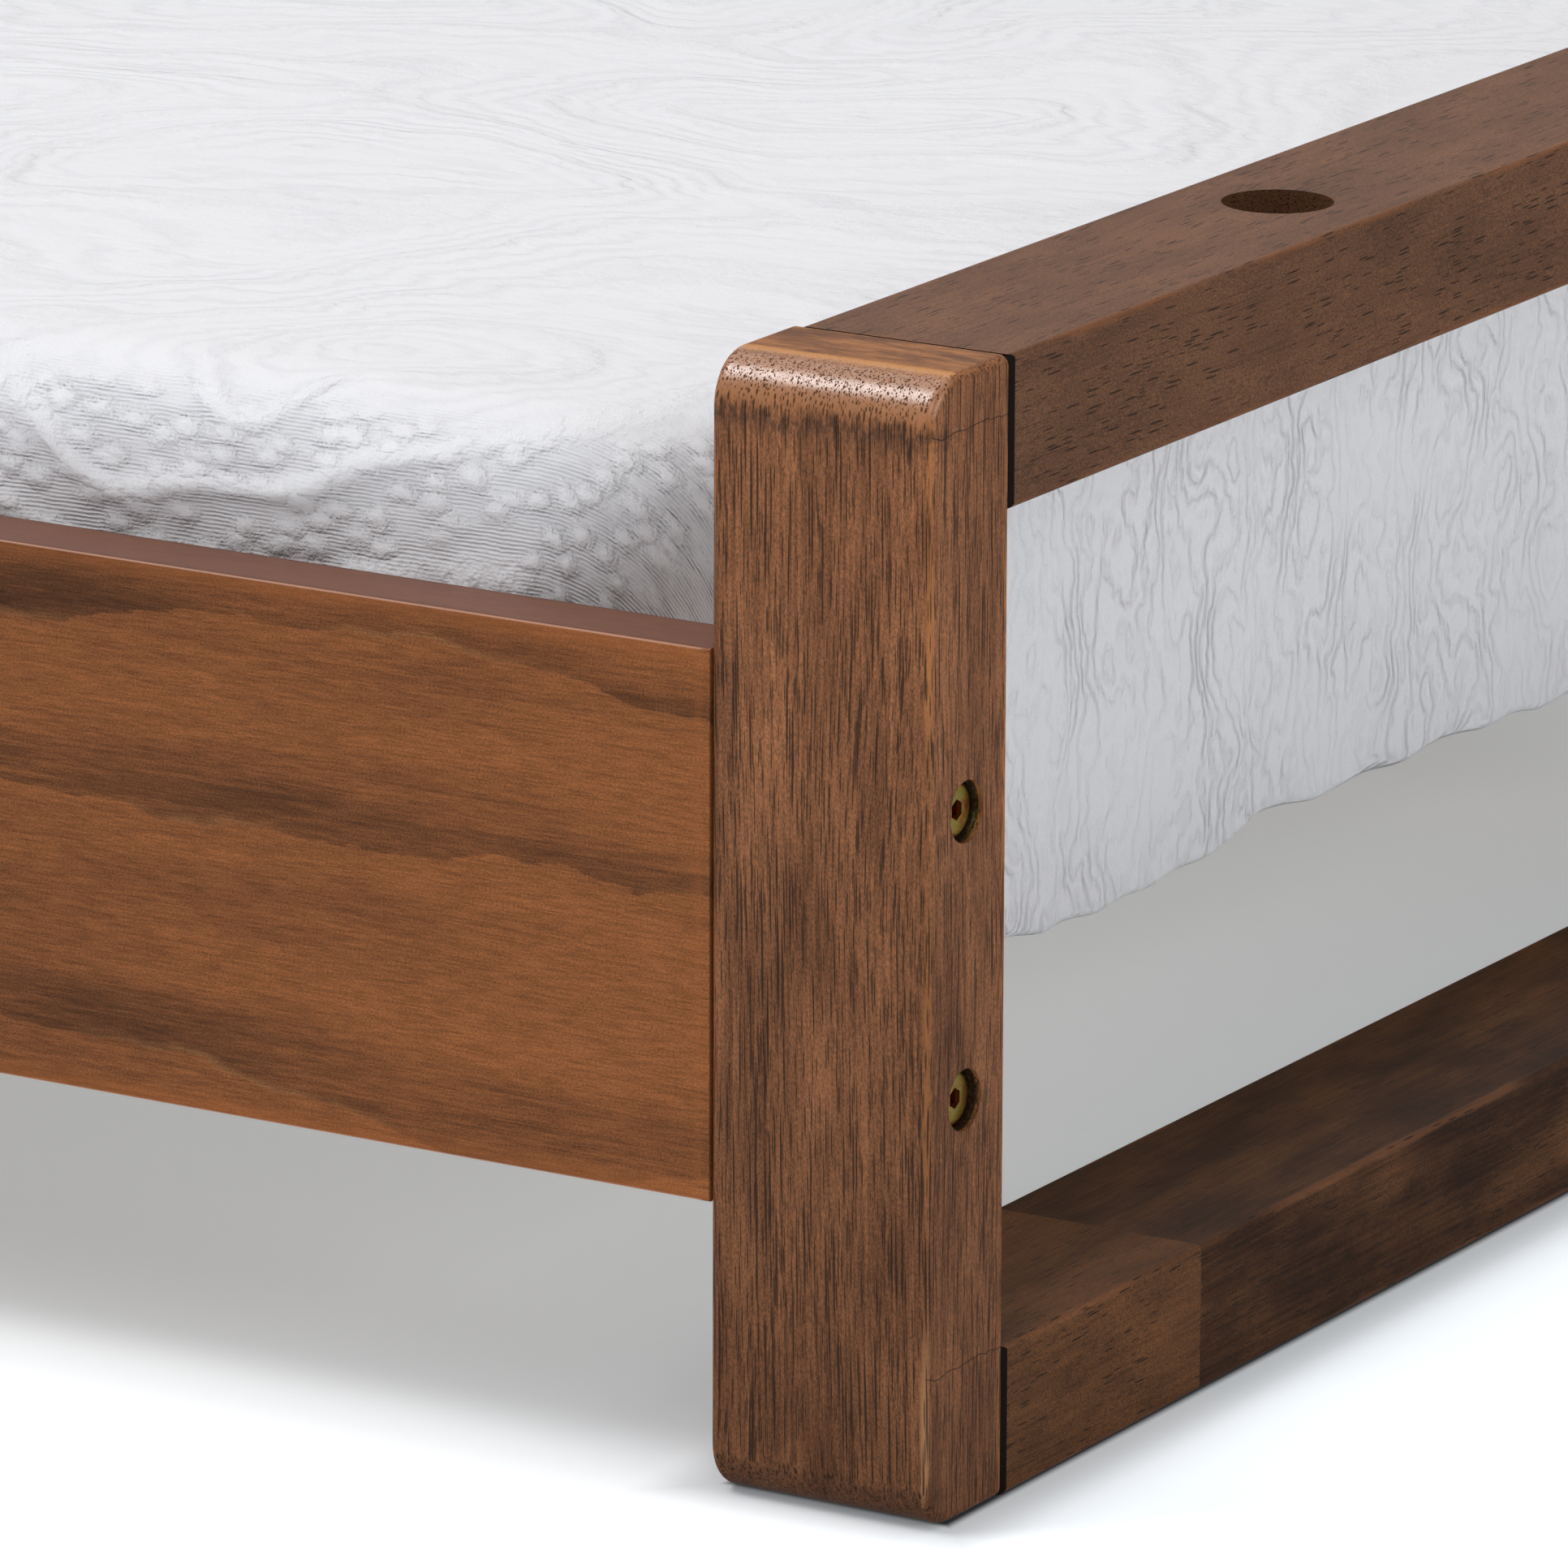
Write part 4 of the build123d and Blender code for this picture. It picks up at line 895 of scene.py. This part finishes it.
def make_mattress(material):
    """The mattress: a rounded block whose upright walls swell a little between two tape-edge beads."""
    low, high = (np.array(corner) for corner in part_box("mattress"))
    middle, half, tall = (low + high) / 2, (high - low) / 2, high[2] - low[2]
    edge, bead = MATTRESS_EDGE, TAPE_BEAD
    outline_x = np.arange(-half[0], half[0] + 1e-6, 2 * half[0] / 76)
    outline_y = np.arange(-half[1], half[1] + 1e-6, 2 * half[1] / 100)
    square_x, square_y = (grid.ravel() for grid in np.meshgrid(outline_x, outline_y, indexing="ij"))
    radius = TOP_CORNER - 4 * MM
    columns, rows = len(outline_x), len(outline_y)
    number = np.arange(columns * rows).reshape(columns, rows)
    rim = np.concatenate([number[:-1, 0], number[-1, :-1], number[:0:-1, -1], number[0, :0:-1]])
    inner_x, inner_y = half[0] - edge, half[1] - edge
    flat_x, flat_y = round_corners(square_x * inner_x / half[0], square_y * inner_y / half[1],
                                   inner_x, inner_y, radius - edge)
    core_x = np.clip(flat_x[rim], -(inner_x - radius + edge), inner_x - radius + edge)
    core_y = np.clip(flat_y[rim], -(inner_y - radius + edge), inner_y - radius + edge)
    out = np.stack([flat_x[rim] - core_x, flat_y[rim] - core_y], axis=1)
    out /= np.linalg.norm(out, axis=1)[:, None]

    wall = []
    for angle in np.linspace(0, pi / 2, ARC_POINTS)[1:]:
        wall.append((edge * sin(angle) - bead, edge * (1 - cos(angle))))
    for angle in np.linspace(-pi / 2, pi / 2, ARC_POINTS):
        wall.append((edge - bead + bead * cos(angle), edge + bead + bead * sin(angle)))
    body_top, body_low = edge + 2 * bead, tall - edge - 2 * bead
    for share in np.linspace(0, 1, WALL_POINTS)[1:-1]:
        swell = edge - bead - 1.2 * MM + WALL_SWELL * sin(pi * share)
        wall.append((swell, body_top + (body_low - body_top) * share))
    for angle in np.linspace(-pi / 2, pi / 2, ARC_POINTS):
        wall.append((edge - bead + bead * cos(angle), tall - edge - bead + bead * sin(angle)))
    for angle in np.linspace(pi / 2, 0, ARC_POINTS)[:-1]:
        wall.append((edge * sin(angle) - bead, tall - edge * (1 - cos(angle))))
    wall = np.array(wall)

    side_x = flat_x[rim] + out[:, 0] * wall[:, :1]
    side_y = flat_y[rim] + out[:, 1] * wall[:, :1]
    side_z = np.repeat(-wall[:, 1:], len(rim), axis=1)
    flat_count = columns * rows
    rings = flat_count + np.arange(len(wall) * len(rim)).reshape(-1, len(rim))
    bottom = flat_count + len(wall) * len(rim) + np.arange(flat_count)
    loops = np.vstack([rim[None, :], rings, bottom[rim][None, :]])
    after = np.roll(loops, -1, axis=1)
    side_faces = np.stack([loops[:-1], loops[1:], after[1:], after[:-1]], axis=-1).reshape(-1, 4)
    top_faces = grid_faces(columns, rows)
    bottom_faces = grid_faces(columns, rows, flat_count + len(wall) * len(rim))[:, ::-1]
    x = np.concatenate([flat_x, side_x.ravel(), flat_x])
    y = np.concatenate([flat_y, side_y.ravel(), flat_y])
    z = np.concatenate([np.zeros(flat_count), side_z.ravel(), np.full(flat_count, -tall)])
    points = np.stack([x + middle[0], y + middle[1], z + high[2]], axis=1)
    faces = np.vstack([top_faces, side_faces, bottom_faces]).tolist()
    piece = mesh_piece("mattress_body", points, faces, material, "bedding")
    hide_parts("mattress")


# -------------------------------------------------------------------------------- finish on the CAD nodes

WALNUT_DARK = (0.122, 0.047, 0.021)
WALNUT_LIGHT = (0.312, 0.126, 0.055)
WALNUT_EDGE = (0.42, 0.165, 0.055)
FIGURE = ((0.105, 0.040, 0.018), (0.440, 0.180, 0.058))
BAR_DARK = (0.086, 0.038, 0.020)
BAR_LIGHT = (0.165, 0.075, 0.038)
BAR_EDGE = (0.28, 0.100, 0.036)
LOW_DARK = (0.026, 0.010, 0.004)
LOW_LIGHT = (0.175, 0.070, 0.025)
LOW_EDGE = (0.25, 0.100, 0.045)
RAIL_DARK = (0.066, 0.026, 0.011)
RAIL_LIGHT = (0.248, 0.086, 0.027)
RAIL_STREAK = (0.42, 0.19, 0.070)
RAIL_EDGE_HIGHLIGHT = (0.55, 0.33, 0.25)
FIRST_STAVE = 115 * MM
STAVE_LENGTH = 0.42
STAVE_TONE_MIDDLE = 0.55


def finish(node, material):
    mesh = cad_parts[node].data
    mesh.materials.clear()
    mesh.materials.append(material)


def finish_frame():
    for node in ("foot_post_left", "foot_post_right", "head_post_left", "head_post_right"):
        finish(node, hardwood(node, "Z", WALNUT_DARK, WALNUT_LIGHT, WALNUT_EDGE, post=True))
    for node in ("foot_top_bar", "head_top_bar", "head_board_1", "head_board_2", "head_board_3"):
        finish(node, hardwood(node, "X", BAR_DARK, BAR_LIGHT, BAR_EDGE, pore=(2.4, 0.45)))
    first_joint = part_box("foot_post_left")[1][0] + FIRST_STAVE
    for node in ("foot_floor_bar", "head_floor_bar"):
        finish(node, hardwood(node, "X", LOW_DARK, LOW_LIGHT, LOW_EDGE, pore=(2.0, 0.30),
                              staves=(first_joint, STAVE_LENGTH, STAVE_TONE_MIDDLE)))
    for node in ("side_rail_left", "side_rail_right"):
        finish(node, flat_sawn(node, RAIL_DARK, RAIL_LIGHT, RAIL_STREAK, RAIL_EDGE_HIGHLIGHT))


def finish_platform():
    pale, deep = (0.60, 0.42, 0.24), (0.43, 0.26, 0.13)
    across = plain_wood("slat_wood", "X", deep, pale)
    along = plain_wood("ledger_wood", "Y", deep, pale)
    upright = plain_wood("leg_wood", "Z", deep, pale)
    beech = plain_wood("dowel_beech", "X", (0.50, 0.31, 0.18), (0.66, 0.46, 0.29))
    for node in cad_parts:
        if node.startswith("slat_") and node != "slat_screws":
            finish(node, across)
        elif node.startswith(("ledger_left", "ledger_right", "center_beam")):
            finish(node, along)
        elif node.startswith(("center_leg", "rail_block")):
            finish(node, upright)
        elif node.endswith("dowels"):
            finish(node, beech)


def finish_hardware():
    yellow_tints = (0.72, 0.72, 0.13), (0.95, 0.72, 0.20), (0.78, 0.32, 0.10)
    bright_tints = (0.60, 0.61, 0.64), (0.70, 0.70, 0.71), (0.62, 0.64, 0.70)
    yellow = zinc("yellow_zinc", *yellow_tints, 0.20, "rail_bolts")
    bright = zinc("bright_zinc", *bright_tints, 0.26)
    finish("rail_bolts", yellow)
    for node in ("barrel_nuts", "slat_screws", "ledger_screws", "leg_hanger_bolts"):
        finish(node, bright)
    finish("leg_glides", nylon("glide_nylon"))


place_camera()
light_studio()
lay_floor()
finish_frame()
finish_platform()
finish_hardware()
make_mattress(ticking("mattress_ticking"))
make_coverlet(coverlet_cloth())
